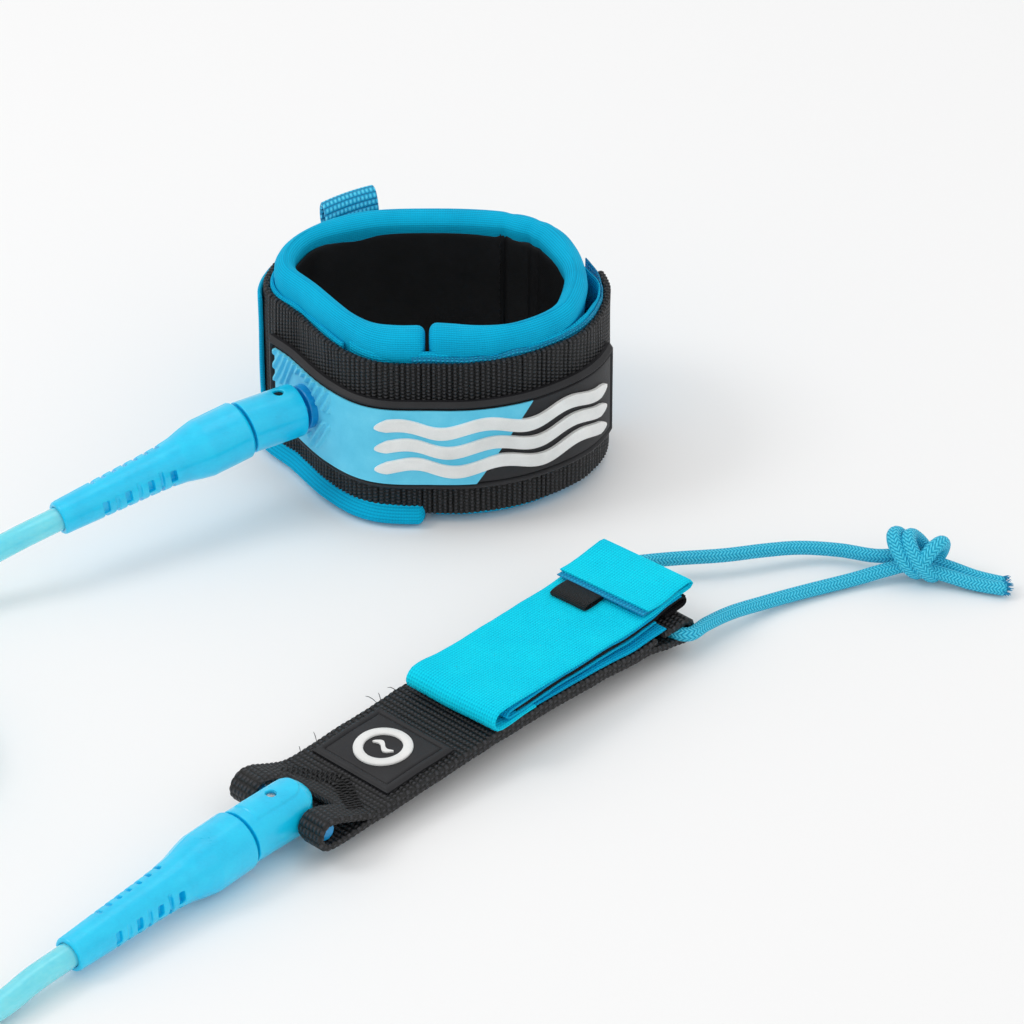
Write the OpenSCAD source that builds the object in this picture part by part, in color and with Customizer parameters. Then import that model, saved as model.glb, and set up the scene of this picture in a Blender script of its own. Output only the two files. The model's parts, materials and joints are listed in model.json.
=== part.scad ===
// Surf leash: padded ankle cuff, urethane cord with a swivel at each end, rail saver and pull string.
// Millimetres, +Z up. Everything lies on the plane z = 0.

/* [Cuff] */
// Height of the neoprene pad
pad_h = 60; // [54:1:66]
// Thickness of the neoprene pad
pad_t = 7.5; // [6:0.5:9]
// Width of the black cuff webbing
cuff_web_w = 49; // [44:1:50]
// Height of the rubber patch on the cuff
patch_h = 29; // [26:1:32]

/* [Swivels] */
// Diameter of the collars
collar_d = 15.5; // [14.5:0.5:16]
// Length of the horns
horn_l = 61.5; // [56:0.5:66]
// Diameter of the swivel studs
stud_d = 4.8; // [4:0.2:5.2]

/* [Cord] */
// Diameter of the urethane cord
cord_d = 7; // [6:0.5:7]
// Diameter of the braided pull string
string_d = 4; // [3:0.5:4]

/* [Rail saver] */
// Width of the rail saver webbing
saver_w = 34; // [32:1:36]
// Distance from the cross bar to the fold at the far end
saver_l = 136.2; // [132:0.2:140]
// Diameter of the cross bar
bar_d = 5; // [4:0.5:5.5]

/* [Hidden] */
$fn = 48;
eps = 0.01;
gap = 0.3;              // clearance between soft pieces on different bodies
play = 0.05;            // radial play of turning metal and plastic pieces

// places
cuff_at = [16, 105, 0];
cuff_pin_at = [-27, 77.2, 28];
cuff_turn = 214;        // direction of the cuff horn, seen from above
cuff_droop = 8;         // how far the cuff horn hangs below level
rail_at = [-31.5, -99.5, 9.5];
rail_turn = 227.5;      // direction of the rail horn, seen from above
rail_droop = 3.2;
saver_turn = 46;        // direction of the rail saver, seen from above
bar_at = 17.5;          // cross bar, from the rail horn's mouth
bar_xy = [rail_at[0] - bar_at * cos(rail_turn), rail_at[1] - bar_at * sin(rail_turn)];
coil_at = [-152, -55, 0];

// cuff layers, counted outwards from the pad's outer face
tape_t = 0.7;
web_t = 2;
web_in = 2 * tape_t;
web_out = web_in + web_t;
patch_out = web_out + 2.2;
inlay_out = patch_out + 0.4;
emblem_out = inlay_out + 0.5;
strap_in = web_out + gap;
strap_out = strap_in + 1.3;
lining_t = 0.8;
cuff_web_z = 3;
patch_z = 12;

// outline of the pad's outer face about the cuff's middle, from the front gap anticlockwise
outline = [
    [0, -37], [14, -36.3], [28, -31], [41, -20], [47, -6], [46.5, 8], [38, 24], [22, 34],
    [2, 37], [-17, 35.5], [-33, 28], [-42.4, 15.5], [-44.4, 2], [-35.5, -10.9], [-25.5, -26.5], [-15, -35.6]
];
steps = 6;              // samples between two outline points
samples = len(outline) * steps;

function spline(a, b, c, d, t) =
    0.5 * (2 * b + (c - a) * t + (2 * a - 5 * b + 4 * c - d) * t * t
    + (3 * b - a - 3 * c + d) * t * t * t);
function wrap(list, i) = list[(i % len(list) + len(list)) % len(list)];
ring = [for (i = [0 : len(outline) - 1], j = [0 : steps - 1])
    spline(wrap(outline, i - 1), outline[i], wrap(outline, i + 1), wrap(outline, i + 2), j / steps)];
function unit(v) = v / norm(v);
function outward(i) = let (t = unit(wrap(ring, i + 1) - wrap(ring, i - 1))) [t[1], -t[0]];
function ring_at(i, off) = wrap(ring, i) + off * outward(i);

// at the right the pad draws back from the webbing and leaves a pocket
pocket_depth = 4;
pocket_at = 27;         // its middle, in samples
pocket_reach = 15;
function pocket(i) =
    let (k = (i + samples) % samples, d = min(1, abs(k - pocket_at) / pocket_reach))
        -pocket_depth * (1 - (3 - 2 * d) * d * d);

// part of the cuff's wall: from sample i to sample j, between two offsets and two heights
module band(i, j, off_in, off_out, low, high, drawn_back = false) {
    outer = [for (k = [i : j]) ring_at(k, off_out + (drawn_back ? pocket(k) : 0))];
    inner = [for (k = [j : -1 : i]) ring_at(k, off_in + (drawn_back ? pocket(k) : 0))];
    translate([cuff_at[0], cuff_at[1], low])
        linear_extrude(height = high - low)
            polygon(concat(outer, inner));
}

// samples where the cuff's pieces begin and end
pad_from = 0;
pad_to = samples - 1;
web_from = 46;
web_to = samples + 31;
loop_from = samples - 10;
loop_to = samples + 36;
hook_from = samples - 2;
hook_to = samples + 33;
backing_from = 48;
patch_from = 74;
patch_to = samples + 23;
inlay_from = 75;
inlay_to = samples + 7;
emblem_from = 90;
emblem_to = samples + 20;
strap_from = 50;
strap_to = 72;
tab_from = 54;
tab_to = 60;

// swivel frames: +X runs along the horn, away from the collar
module cuff_frame() {
    translate(cuff_pin_at) rotate([0, 0, cuff_turn]) children();
}
module cuff_horn_frame() {
    cuff_frame() translate([pin_to_mouth, 0, 0]) rotate([0, cuff_droop, 0]) children();
}
module rail_frame() {
    translate(rail_at) rotate([0, 0, rail_turn]) children();
}
module rail_horn_frame() {
    rail_frame() rotate([0, rail_droop, 0]) children();
}
module along_x(from, to, r) {
    translate([from, 0, 0]) rotate([0, 90, 0]) cylinder(h = to - from, r = r);
}

pin_to_mouth = 11.8;    // from the collar's pin to the horn's mouth
collar_end = 5.2;       // from the cuff pin to the collar's end
tongue_t = 5;
tongue_w = 9;
tongue_r = 4;
boss_r = 6.5;
boss_from = 6.9;        // from the cuff pin to the boss's shoulder
boss_to = 11.7;         // and to its seat on the webbing
pin_r = 1.5;
mouth_gap = 0.8;        // groove between collar and horn
head_r = 3.6;
head_t = 2.4;
head_at = 3.8;          // stud head, behind the horn's mouth
chamber_from = 5;
chamber_to = 9.6;
chamber_r = 4.6;
washer_t = 0.8;
rivet_r = 4.2;
rivet_t = 2;
cord_seat = 17;         // where the cord's end sits in the horn

module stud() {
    along_x(-head_at - head_t, -head_at, head_r);
    along_x(-head_at, chamber_from + washer_t + 0.2 + rivet_t, stud_d / 2);
    along_x(chamber_from + washer_t + 0.2, chamber_from + washer_t + 0.2 + rivet_t, rivet_r);
}

module washer() {
    difference() {
        along_x(chamber_from + 0.1, chamber_from + 0.1 + washer_t, rivet_r);
        along_x(chamber_from, chamber_from + washer_t + 0.3, stud_d / 2);
    }
}

// long moulded sleeve: barrel, shoulder and a tail with grip windows and notches
horn_profile = [
    [mouth_gap, 7.6], [mouth_gap + 0.9, 8.5], [14, 8.55], [17.5, 7.9], [22, 6.8], [27, 6.2],
    [33, 5.9], [45, 5.5], [horn_l - 0.5, 4.9], [horn_l, 4.5]
];
window_pitch = 7.2;
window_count = 4;
window_at = 26.8;
notch_pitch = window_pitch / 2;
notch_count = 7;
notch_turn = 37;        // the notch rows stand this far round from upright

module horn() {
    difference() {
        rotate([0, 90, 0])
            rotate_extrude()
                polygon(concat([[0, mouth_gap]], [for (p = horn_profile) [p[1], p[0]]], [[0, horn_l]]));
        along_x(mouth_gap - 1, chamber_from + eps, stud_d / 2 + play);
        along_x(chamber_from, chamber_to, chamber_r);
        along_x(cord_seat - 0.5, horn_l + 1, cord_d / 2 + 2 * play);
        for (side = [-1, 1], i = [0 : window_count - 1])
            translate([window_at + i * window_pitch, side * 5.5, 0])
                cube([2, 2.8, 3.6], center = true);
        for (side = [-1, 1], i = [0 : window_count - 2])
            translate([window_at + (i + 0.5) * window_pitch, side * 6.2, 0])
                cube([1.2, 2.4, 6], center = true);
        for (side = [-1, 1], i = [0 : notch_count - 1])
            rotate([notch_turn, 0, 0])
                translate([window_at + i * notch_pitch, 0, side * 5.6])
                    cube([1.2, 5, 2.4], center = true);
    }
}

// --- cuff ---
module cuff_pad() {
    color("deepskyblue")
        band(pad_from, pad_to, -pad_t + lining_t, 0, 0, pad_h, true);
}

module cuff_lining() {
    color("black")
        band(pad_from, pad_to, -pad_t, -pad_t + lining_t, 4, pad_h - 4, true);
}

// loop tape on the pad's right end, where the webbing closes over it
module cuff_loop_tape() {
    color("deepskyblue")
        band(loop_from, loop_to, 0, tape_t, cuff_web_z - 1, cuff_web_z + cuff_web_w + 1.5, true);
}

// hook tape sewn to the inside of the webbing's free end
module cuff_hook_tape() {
    color("#00a0d8")
        band(hook_from, hook_to, tape_t, 2 * tape_t, cuff_web_z, cuff_web_z + cuff_web_w + 1);
}

// blue tape that joins the webbing to the rest of the pad
module cuff_backing_tape() {
    color("deepskyblue")
        band(backing_from, loop_from - 1, 0, 2 * tape_t, cuff_web_z - 0.5, cuff_web_z + cuff_web_w + 1);
}

module cuff_webbing() {
    color("#1a1a1c")
        band(web_from, web_to, web_in, web_out, cuff_web_z, cuff_web_z + cuff_web_w);
}

module cuff_patch() {
    color("#303032")
        difference() {
            band(patch_from, patch_to, web_out, patch_out, patch_z, patch_z + patch_h);
            cuff_frame() along_x(-boss_to - 4, -boss_from, boss_r);
        }
}

module cuff_patch_inlay() {
    color("#55cdeb")
        difference() {
            band(inlay_from, inlay_to, patch_out, inlay_out, patch_z + 2, patch_z + patch_h - 2);
            cuff_frame() along_x(-boss_to - 4, -boss_from, boss_r);
        }
}

emblem_bar_h = 2.4;
emblem_pitch = 6.4;
module cuff_emblem() {
    color("white")
        for (i = [-1 : 1])
            band(emblem_from, emblem_to, inlay_out, emblem_out,
                patch_z + patch_h / 2 + i * emblem_pitch - emblem_bar_h / 2,
                patch_z + patch_h / 2 + i * emblem_pitch + emblem_bar_h / 2);
}

module cuff_strap() {
    color("deepskyblue")
        band(strap_from, strap_to, strap_in, strap_out, cuff_web_z + 3, cuff_web_z + cuff_web_w - 3);
}

module pull_tab() {
    color("deepskyblue")
        band(tab_from, tab_to, strap_out, strap_out + 2.6, 34, 66);
}

// --- cuff swivel ---
module cuff_boss() {
    color("#007dc8")
        cuff_frame()
            difference() {
                union() {
                    along_x(-boss_to, -boss_from, boss_r);
                    translate([-boss_from - eps, -tongue_w / 2, -tongue_t / 2])
                        cube([boss_from + eps, tongue_w, tongue_t]);
                    translate([0, 0, -tongue_t / 2]) cylinder(h = tongue_t, r = tongue_r + 0.5);
                }
                translate([0, 0, -tongue_t]) cylinder(h = 2 * tongue_t, r = pin_r + play);
            }
}

module cuff_pin() {
    color("dimgray")
        translate(cuff_pin_at - [0, 0, 7]) cylinder(h = 14, r = pin_r);
}

module cuff_collar() {
    color("#00beF0")
        difference() {
            cuff_frame() along_x(-collar_end, pin_to_mouth + 1.5, collar_d / 2);
            cuff_horn_frame() translate([0, -20, -20]) cube([20, 40, 40]);
            cuff_frame()
                translate([-collar_end - 1, -tongue_w / 2 - 1.2, -tongue_t / 2 - gap])
                    cube([collar_end + 6, tongue_w + 2.4, tongue_t + 2 * gap]);
            translate(cuff_pin_at - [0, 0, 20]) cylinder(h = 40, r = pin_r);
            cuff_horn_frame() stud();
        }
}

module cuff_swivel_stud() {
    color("silver") cuff_horn_frame() stud();
}

module cuff_horn() {
    color("#00beF0") cuff_horn_frame() horn();
}

// --- rail swivel ---
nose_r = 6.2;           // from the cross bar to the nose's tip
nose_ball_r = 8.4;      // rounding of the nose
module rail_collar() {
    color("#00beF0")
        difference() {
            rail_frame()
                intersection() {
                    along_x(-bar_at - nose_r, 1.5, collar_d / 2);
                    union() {
                        translate([-bar_at, -collar_d / 2, -10]) cube([bar_at + 3, collar_d, 20]);
                        translate([-bar_at + 1.5, 0, -10]) cylinder(h = 20, r = collar_d / 2);
                    }
                    union() {
                        translate([-bar_at, -10, -10]) cube([bar_at + 3, 20, 20]);
                        translate([-bar_at + 1, 0, 0]) sphere(r = nose_ball_r);
                    }
                }
            rail_horn_frame() translate([0, -20, -20]) cube([20, 40, 40]);
            rail_frame() translate([-pin_to_mouth, 0, -20]) cylinder(h = 40, r = pin_r);
            rail_bar_line(60, bar_d / 2);
            rail_horn_frame() stud();
        }
}

module rail_bar_line(length, r) {
    translate([bar_xy[0], bar_xy[1], rail_at[2]])
        rotate([0, 0, saver_turn])
            rotate([90, 0, 0])
                translate([0, 0, -length / 2]) cylinder(h = length, r = r);
}

module rail_pin() {
    color("silver")
        rail_frame() translate([-pin_to_mouth, 0, -7.2]) cylinder(h = 14.4, r = pin_r);
}

module rail_swivel_stud() {
    color("silver") rail_horn_frame() stud();
}

module rail_horn() {
    color("#00beF0") rail_horn_frame() horn();
}

module cross_bar() {
    color("deepskyblue") rail_bar_line(saver_w - 4, bar_d / 2);
}

module swivel_washers() {
    color("silver") {
        cuff_horn_frame() washer();
        rail_horn_frame() washer();
    }
}

// --- rail saver: heights over its length, in a frame with its origin under the cross bar ---
web_double = 3.6;       // two plies of webbing
eye_z = 7;
eye_r = 3.9;
eye_slot_r = 2.25;      // half the height of the string's tunnel
eye_slot_l = 8;         // how far the tunnel reaches back from the fold
lug_r = 4.9;
base_line = [[6, 5.2], [20, 5.2], [40, 6.2], [60, 7.2], [80, 7.4], [100, 7], [118, 6], [saver_l, 4.4]];
function line_z(x, i = 0) =
    i >= len(base_line) - 2 || x <= base_line[i + 1][0]
        ? let (a = base_line[i], b = base_line[i + 1], t = (x - a[0]) / (b[0] - a[0]))
            a[1] + (b[1] - a[1]) * (3 - 2 * t) * t * t
        : line_z(x, i + 1);
function clamp(v) = min(1, max(0, v));
// top of the webbing; it climbs over the string's eye at the far end
function top_z(x) = max(line_z(x) + web_double, line_z(x) + web_double
    + (eye_z + eye_r + gap - line_z(x) - web_double) * clamp((x - saver_l + 22) / 18));

module saver_frame() {
    translate([bar_xy[0], bar_xy[1], 0]) rotate([0, 0, saver_turn]) children();
}
// sheet that follows the webbing's top from x0 to x1, between two heights over it
grid = [for (x = [15 : 9 : 135]) x];
module sheet(x0, x1, low, high, width) {
    xs = concat([x0], [for (x = grid) if (x > x0 + 1 && x < x1 - 1) x], [x1]);
    up = [for (x = xs) [x, top_z(x) + high]];
    down = [for (k = [len(xs) - 1 : -1 : 0]) [xs[k], top_z(xs[k]) + low]];
    rotate([90, 0, 0])
        translate([0, 0, -width / 2]) linear_extrude(height = width) polygon(concat(up, down));
}
module across(x, z, r, width) {
    translate([x, width / 2, z]) rotate([90, 0, 0]) cylinder(h = width, r = r);
}

notch_back = 8.8;       // the webbing's notch ends here, past the collar's nose
notch_w = 17;
module rail_webbing() {
    xs = [for (x = grid) if (x < 124) x];
    top = [for (x = xs) [x, line_z(x) + web_double]];
    low = [for (k = [len(xs) - 1 : -1 : 0]) [xs[k], line_z(xs[k])]];
    body_outline = concat([[0, rail_at[2] + lug_r]], top, [[saver_l, eye_z + eye_r], [saver_l, eye_z - eye_r]],
        low, [[0, rail_at[2] - lug_r]]);
    color("#1a1a1c")
        saver_frame()
            difference() {
                union() {
                    rotate([90, 0, 0])
                        translate([0, 0, -saver_w / 2]) linear_extrude(height = saver_w) polygon(body_outline);
                    across(0, rail_at[2], lug_r, saver_w);
                    across(saver_l, eye_z, eye_r, saver_w);
                }
                translate([-20, -notch_w / 2, -1]) cube([20 + notch_back, notch_w, 40]);
                across(0, rail_at[2], bar_d / 2 + play, saver_w + 2);
                across(saver_l, eye_z, eye_slot_r, saver_w + 2);
                across(saver_l - eye_slot_l, eye_z, eye_slot_r, saver_w + 2);
                translate([saver_l - eye_slot_l, -saver_w, eye_z - eye_slot_r])
                    cube([eye_slot_l, 2 * saver_w, 2 * eye_slot_r]);
            }
}

tack_at = 16.5;
module rail_bartacks() {
    color("#101012")
        saver_frame()
            for (side = [-1, 1])
                translate([tack_at, side * 7, line_z(tack_at) + web_double])
                    rotate([0, 0, side * 35])
                        translate([-1, -6, 0]) cube([2, 12, 0.8]);
}

seam = 0.08;            // between layers that are sewn together
rail_patch_from = 23;
rail_patch_l = 25;
rail_patch_w = 28;
rail_patch_t = 1.3;
module rail_patch() {
    color("#303032")
        saver_frame() sheet(rail_patch_from, rail_patch_from + rail_patch_l, seam, rail_patch_t, rail_patch_w);
}

module rail_emblem() {
    mid = rail_patch_from + rail_patch_l / 2;
    color("white")
        saver_frame()
            translate([mid, 0, top_z(mid) + rail_patch_t + 0.1])
                difference() {
                    cylinder(h = 0.7, r = 7);
                    translate([0, 0, -1]) cylinder(h = 3, r = 4.6);
                }
}

module rail_loop_tape() {
    color("deepskyblue") saver_frame() sheet(61, saver_l - 8, seam, 0.9, saver_w - 1);
}

// --- hook-and-loop flap: layers folded back and forth over the webbing ---
flap_skew = 3.5;        // the flap lies a little askew
flap_mid = 100;
flap_w = 31;
flap_from = 59;
flap_to = saver_l + 4;
inner_low = 1.3;
inner_t = 1.1;
black_t = 1.5;
outer_low = inner_low + 2 * inner_t + black_t + 0.1;
outer_t = 1.3;
return_low = outer_low + outer_t + gap;
return_t = 1.3;
module flap_frame() {
    saver_frame() translate([flap_mid, 0, 0]) rotate([0, 0, flap_skew]) translate([-flap_mid, 0, 0]) children();
}
// upright end of a fold at x, between two heights over the webbing
module fold_end(x, low, high, t, width) {
    translate([x, -width / 2, top_z(x) + low]) cube([t, width, high - low]);
}

module flap_inner() {
    color("#00a0d8")
        flap_frame() {
            sheet(flap_from + 5, flap_to - 10, inner_low, inner_low + inner_t - seam, flap_w);
            sheet(flap_from + 5, flap_to - 3, inner_low + inner_t + black_t + seam, outer_low - 0.1, flap_w);
            fold_end(flap_from + 4, inner_low + 0.05, outer_low - 0.15, 1.1, flap_w);
        }
}

module flap_backing() {
    color("#1a1a1c")
        flap_frame()
            sheet(flap_from + 6, flap_to - 1, inner_low + inner_t + seam, inner_low + inner_t + black_t - seam, flap_w);
}

module flap_outer() {
    color("#00cdf0")
        flap_frame() {
            sheet(flap_from, flap_to, outer_low, outer_low + outer_t, flap_w);
            fold_end(flap_from - outer_t + 0.05, inner_low + gap, outer_low + outer_t, outer_t, flap_w);
        }
}

module flap_return() {
    color("#00cdf0")
        flap_frame() sheet(flap_to - 19, flap_to, return_low, return_low + return_t, flap_w);
}

module side_tag() {
    color("#101012")
        flap_frame()
            translate([0, 5, 0])
                sheet(flap_to - 29, flap_to - 20, outer_low + outer_t + seam, outer_low + outer_t + 1.6, 16);
}

// --- cord, string and what is on them ---
// tube swept along a route, in rings of equal radius
function tangent(p, i) = unit(p[min(i + 1, len(p) - 1)] - p[max(i - 1, 0)]);
function ring_points(p, i, r, n) =
    let (t = tangent(p, i), s = unit(cross(t, [0, 0, 1])), u = cross(s, t))
        [for (k = [0 : n - 1]) p[i] + r * (cos(360 * k / n) * s + sin(360 * k / n) * u)];
module tube(p, r, n) {
    m = len(p);
    verts = [for (i = [0 : m - 1]) each ring_points(p, i, r, n)];
    walls = [for (i = [0 : m - 2], k = [0 : n - 1])
        [i * n + k, (i + 1) * n + k, (i + 1) * n + (k + 1) % n, i * n + (k + 1) % n]];
    first = [for (k = [0 : n - 1]) k];
    last = [for (k = [n - 1 : -1 : 0]) (m - 1) * n + k];
    polyhedron(verts, concat(walls, [first, last]));
}
// smooth route through hand-set points
function smooth(p, n) = [for (i = [0 : len(p) - 2], j = [0 : n - (i < len(p) - 2 ? 1 : 0)])
    spline(p[max(i - 1, 0)], p[i], p[i + 1], p[min(i + 2, len(p) - 1)], j / n)];

function horn_dir(turn, droop) = [cos(droop) * cos(turn), cos(droop) * sin(turn), -sin(droop)];
cuff_dir = horn_dir(cuff_turn, cuff_droop);
rail_dir = horn_dir(rail_turn, rail_droop);
cuff_mouth = cuff_pin_at + pin_to_mouth * [cos(cuff_turn), sin(cuff_turn), 0];

// coil of cord: turns beside and on each other
coil_r = 49.5;          // outer radius
coil_in = 25.5;         // inner radius
coil_h = 14.2;

straight = [cord_seat, cord_seat + 15, horn_l - 14, horn_l + 1, horn_l + 12];
cuff_route = concat(
    [for (x = straight) cuff_mouth + x * cuff_dir],
    [[-110, 24, 13.6], [-127, 15.2, 10.8], [-144, 4.4, 9.6], [-161, -6.5, 10.4]]);
rail_route = concat(
    [for (x = straight) rail_at + x * rail_dir],
    [[-91, -165, 4], [-110, -180, 3.6], [-138, -187, 3.6], [-166, -177, 3.6], [-186, -153, 3.6],
    [-195, -122, 3.6], [-198, -94, 3.6], [-198, -73, 3.6]]);

module cord_cuff_side() {
    color("#5adcf5") tube(smooth(cuff_route, 4), cord_d / 2, 12);
}

module cord_rail_side() {
    color("#5adcf5") tube(smooth(rail_route, 4), cord_d / 2, 12);
}

module cord_coil() {
    color("#5adcf5")
        translate([coil_at[0], coil_at[1], 0])
            rotate_extrude()
                translate([coil_in, 0]) square([coil_r - coil_in, coil_h]);
}

module coil_tie() {
    color("#1a1a1c")
        translate([coil_at[0] - (coil_in + coil_r) / 2, coil_at[1], 0])
            difference() {
                translate([-12.5, -4, 0]) cube([25, 8, coil_h + 1.2]);
                translate([-10.8, -5, -1]) cube([21.6, 10, coil_h + 1.1]);
            }
}

// each half of the string starts in the middle of the tunnel and ends in its tail
tunnel_mid = [bar_xy[0] + (saver_l - 4) * cos(saver_turn), bar_xy[1] + (saver_l - 4) * sin(saver_turn), eye_z];
front_route = [
    tunnel_mid, tunnel_mid + [7.2, -7, 0], [87, -2, 6.8], [92.5, 4.4, 6], [99.5, 12, 4.6], [109, 19.5, 2.9],
    [120, 25.8, 2.2], [134, 32, 2.2], [144, 35, 3.6], [151, 35.2, 5], [160, 32.2, 3.6], [168, 29.6, 2.4], [176.5, 27, 2.2]
];
back_route = [
    tunnel_mid, tunnel_mid + [-7.2, 7, 0], [63, 23.5, 7], [64.8, 30, 6.8], [72.5, 34, 6.4], [84, 36.5, 6.2],
    [98, 38.5, 6], [110, 42, 5.4], [120, 44.5, 4.6], [131, 44.5, 3.8], [141, 41, 4.2], [151, 39.2, 5.4],
    [160.5, 36.2, 3.8], [168.5, 33.6, 2.4], [176, 31, 2.2]
];

knot_at = [152, 37, 7];
knot_r = 6.8;
module string_front() {
    color("#00a5d2") tube(smooth(front_route, 3), string_d / 2, 8);
}

module string_back() {
    color("#00a5d2") tube(smooth(back_route, 3), string_d / 2, 8);
}

module string_knot() {
    color("#00a5d2") translate(knot_at) sphere(r = knot_r);
}

cuff_pad();
cuff_lining();
cuff_loop_tape();
cuff_hook_tape();
cuff_backing_tape();
cuff_webbing();
cuff_patch();
cuff_patch_inlay();
cuff_emblem();
cuff_strap();
pull_tab();
cuff_boss();
cuff_pin();
cuff_collar();
cuff_swivel_stud();
cuff_horn();
swivel_washers();
rail_horn();
rail_swivel_stud();
rail_collar();
rail_pin();
cross_bar();
rail_webbing();
rail_bartacks();
rail_patch();
rail_emblem();
rail_loop_tape();
flap_inner();
flap_backing();
flap_outer();
flap_return();
side_tag();
cord_cuff_side();
cord_rail_side();
cord_coil();
coil_tie();
string_front();
string_back();
string_knot();
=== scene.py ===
"""Surf leash: cuff, swivels, urethane cord, rail saver and pull string, drawn round the CAD frame.

Lengths in the code are millimetres; make() turns them into metres.
"""
import json
import math
import random

import bmesh
import bpy
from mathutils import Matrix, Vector, noise

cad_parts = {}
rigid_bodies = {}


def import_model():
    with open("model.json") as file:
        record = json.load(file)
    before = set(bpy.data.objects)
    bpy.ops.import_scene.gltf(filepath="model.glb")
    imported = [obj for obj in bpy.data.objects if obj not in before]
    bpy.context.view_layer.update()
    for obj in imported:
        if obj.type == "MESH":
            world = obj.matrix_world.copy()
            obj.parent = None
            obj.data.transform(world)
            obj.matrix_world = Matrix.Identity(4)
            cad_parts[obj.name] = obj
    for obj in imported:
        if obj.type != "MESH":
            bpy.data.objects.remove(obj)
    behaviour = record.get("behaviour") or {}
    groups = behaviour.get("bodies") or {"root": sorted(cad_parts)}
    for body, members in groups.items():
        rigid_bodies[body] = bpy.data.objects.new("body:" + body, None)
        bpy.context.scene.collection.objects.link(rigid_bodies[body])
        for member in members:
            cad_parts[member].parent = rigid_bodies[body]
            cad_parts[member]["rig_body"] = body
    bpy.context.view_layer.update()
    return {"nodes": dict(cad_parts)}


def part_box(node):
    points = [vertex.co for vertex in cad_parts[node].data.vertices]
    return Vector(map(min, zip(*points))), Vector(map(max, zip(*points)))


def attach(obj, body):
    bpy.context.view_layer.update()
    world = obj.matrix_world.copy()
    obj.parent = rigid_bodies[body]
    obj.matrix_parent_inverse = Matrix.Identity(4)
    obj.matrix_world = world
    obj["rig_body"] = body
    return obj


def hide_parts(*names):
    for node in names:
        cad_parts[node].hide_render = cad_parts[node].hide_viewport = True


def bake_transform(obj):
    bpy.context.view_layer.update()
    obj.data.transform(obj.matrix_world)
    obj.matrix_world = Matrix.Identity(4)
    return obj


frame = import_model()
MM = 0.001
SCENE = bpy.context.scene
rng = random.Random(11)
UP = Vector((0, 0, 1))


def low(node):
    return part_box(node)[0] / MM


def middle(node):
    a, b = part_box(node)
    return (a + b) / 2 / MM


def smooth(t):
    t = min(1.0, max(0.0, t))
    return t * t * (3 - 2 * t)


def bump(x, mid, width):
    return math.exp(-((x - mid) / width) ** 2)


def wobble(x, y, seed, size):
    """Slow random waviness, from -1 to 1."""
    return noise.noise(Vector((x / size + seed * 7.3, y / size, seed * 3.1)))


def catmull(a, b, c, d, t):
    return 0.5 * (2 * b + (c - a) * t + (2 * a - 5 * b + 4 * c - d) * t * t + (3 * b - a - 3 * c + d) * t ** 3)


def span(a, b, step, edge=0.0):
    """Numbers from a to b, with one close to each end where edge is given."""
    n = max(1, round((b - a) / step))
    inner = [a + (b - a) * i / n for i in range(n + 1)]
    if edge:
        inner = [a, a + edge] + [x for x in inner[1:-1] if a + edge * 1.5 < x < b - edge * 1.5] + [b - edge, b]
    return inner


# ---------------------------------------------------------------- camera and stage
LOOK_AT = Vector((39, 70, 0))
ELEVATION = math.radians(33)
DISTANCE = 1600
camera = bpy.data.objects.new("camera", bpy.data.cameras.new("camera"))
SCENE.collection.objects.link(camera)
back = Vector((0, -math.cos(ELEVATION), math.sin(ELEVATION)))
camera.location = (LOOK_AT + back * DISTANCE) * MM
camera.rotation_euler = (-back).to_track_quat("-Z", "Y").to_euler()
camera.data.sensor_width = 36
camera.data.lens = 197.4
camera.data.clip_start = 0.05
camera.data.clip_end = 20
SCENE.camera = camera
SCENE.view_settings.view_transform = "Standard"


# ---------------------------------------------------------------- materials
def srgb(text):
    parts = [int(text[i:i + 2], 16) / 255 for i in (1, 3, 5)]
    return [x / 12.92 if x <= 0.04045 else ((x + 0.055) / 1.055) ** 2.4 for x in parts] + [1.0]


class Value:
    """A socket that can be added and multiplied."""

    def __init__(self, shader, socket):
        self.shader = shader
        self.socket = socket

    def __add__(self, other):
        return self.shader.math("ADD", self, other)

    def __sub__(self, other):
        return self.shader.math("SUBTRACT", self, other)

    def __mul__(self, other):
        return self.shader.math("MULTIPLY", self, other)

    def __pow__(self, other):
        return self.shader.math("POWER", self, other)

    def floor(self):
        return self.shader.math("FLOOR", self)

    def wave(self, turns=1.0):
        """Rounded ribs: 0 at whole numbers and 1 between them."""
        return self.shader.math("ABSOLUTE", self.shader.math("SINE", self * (math.pi * turns)))


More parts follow.
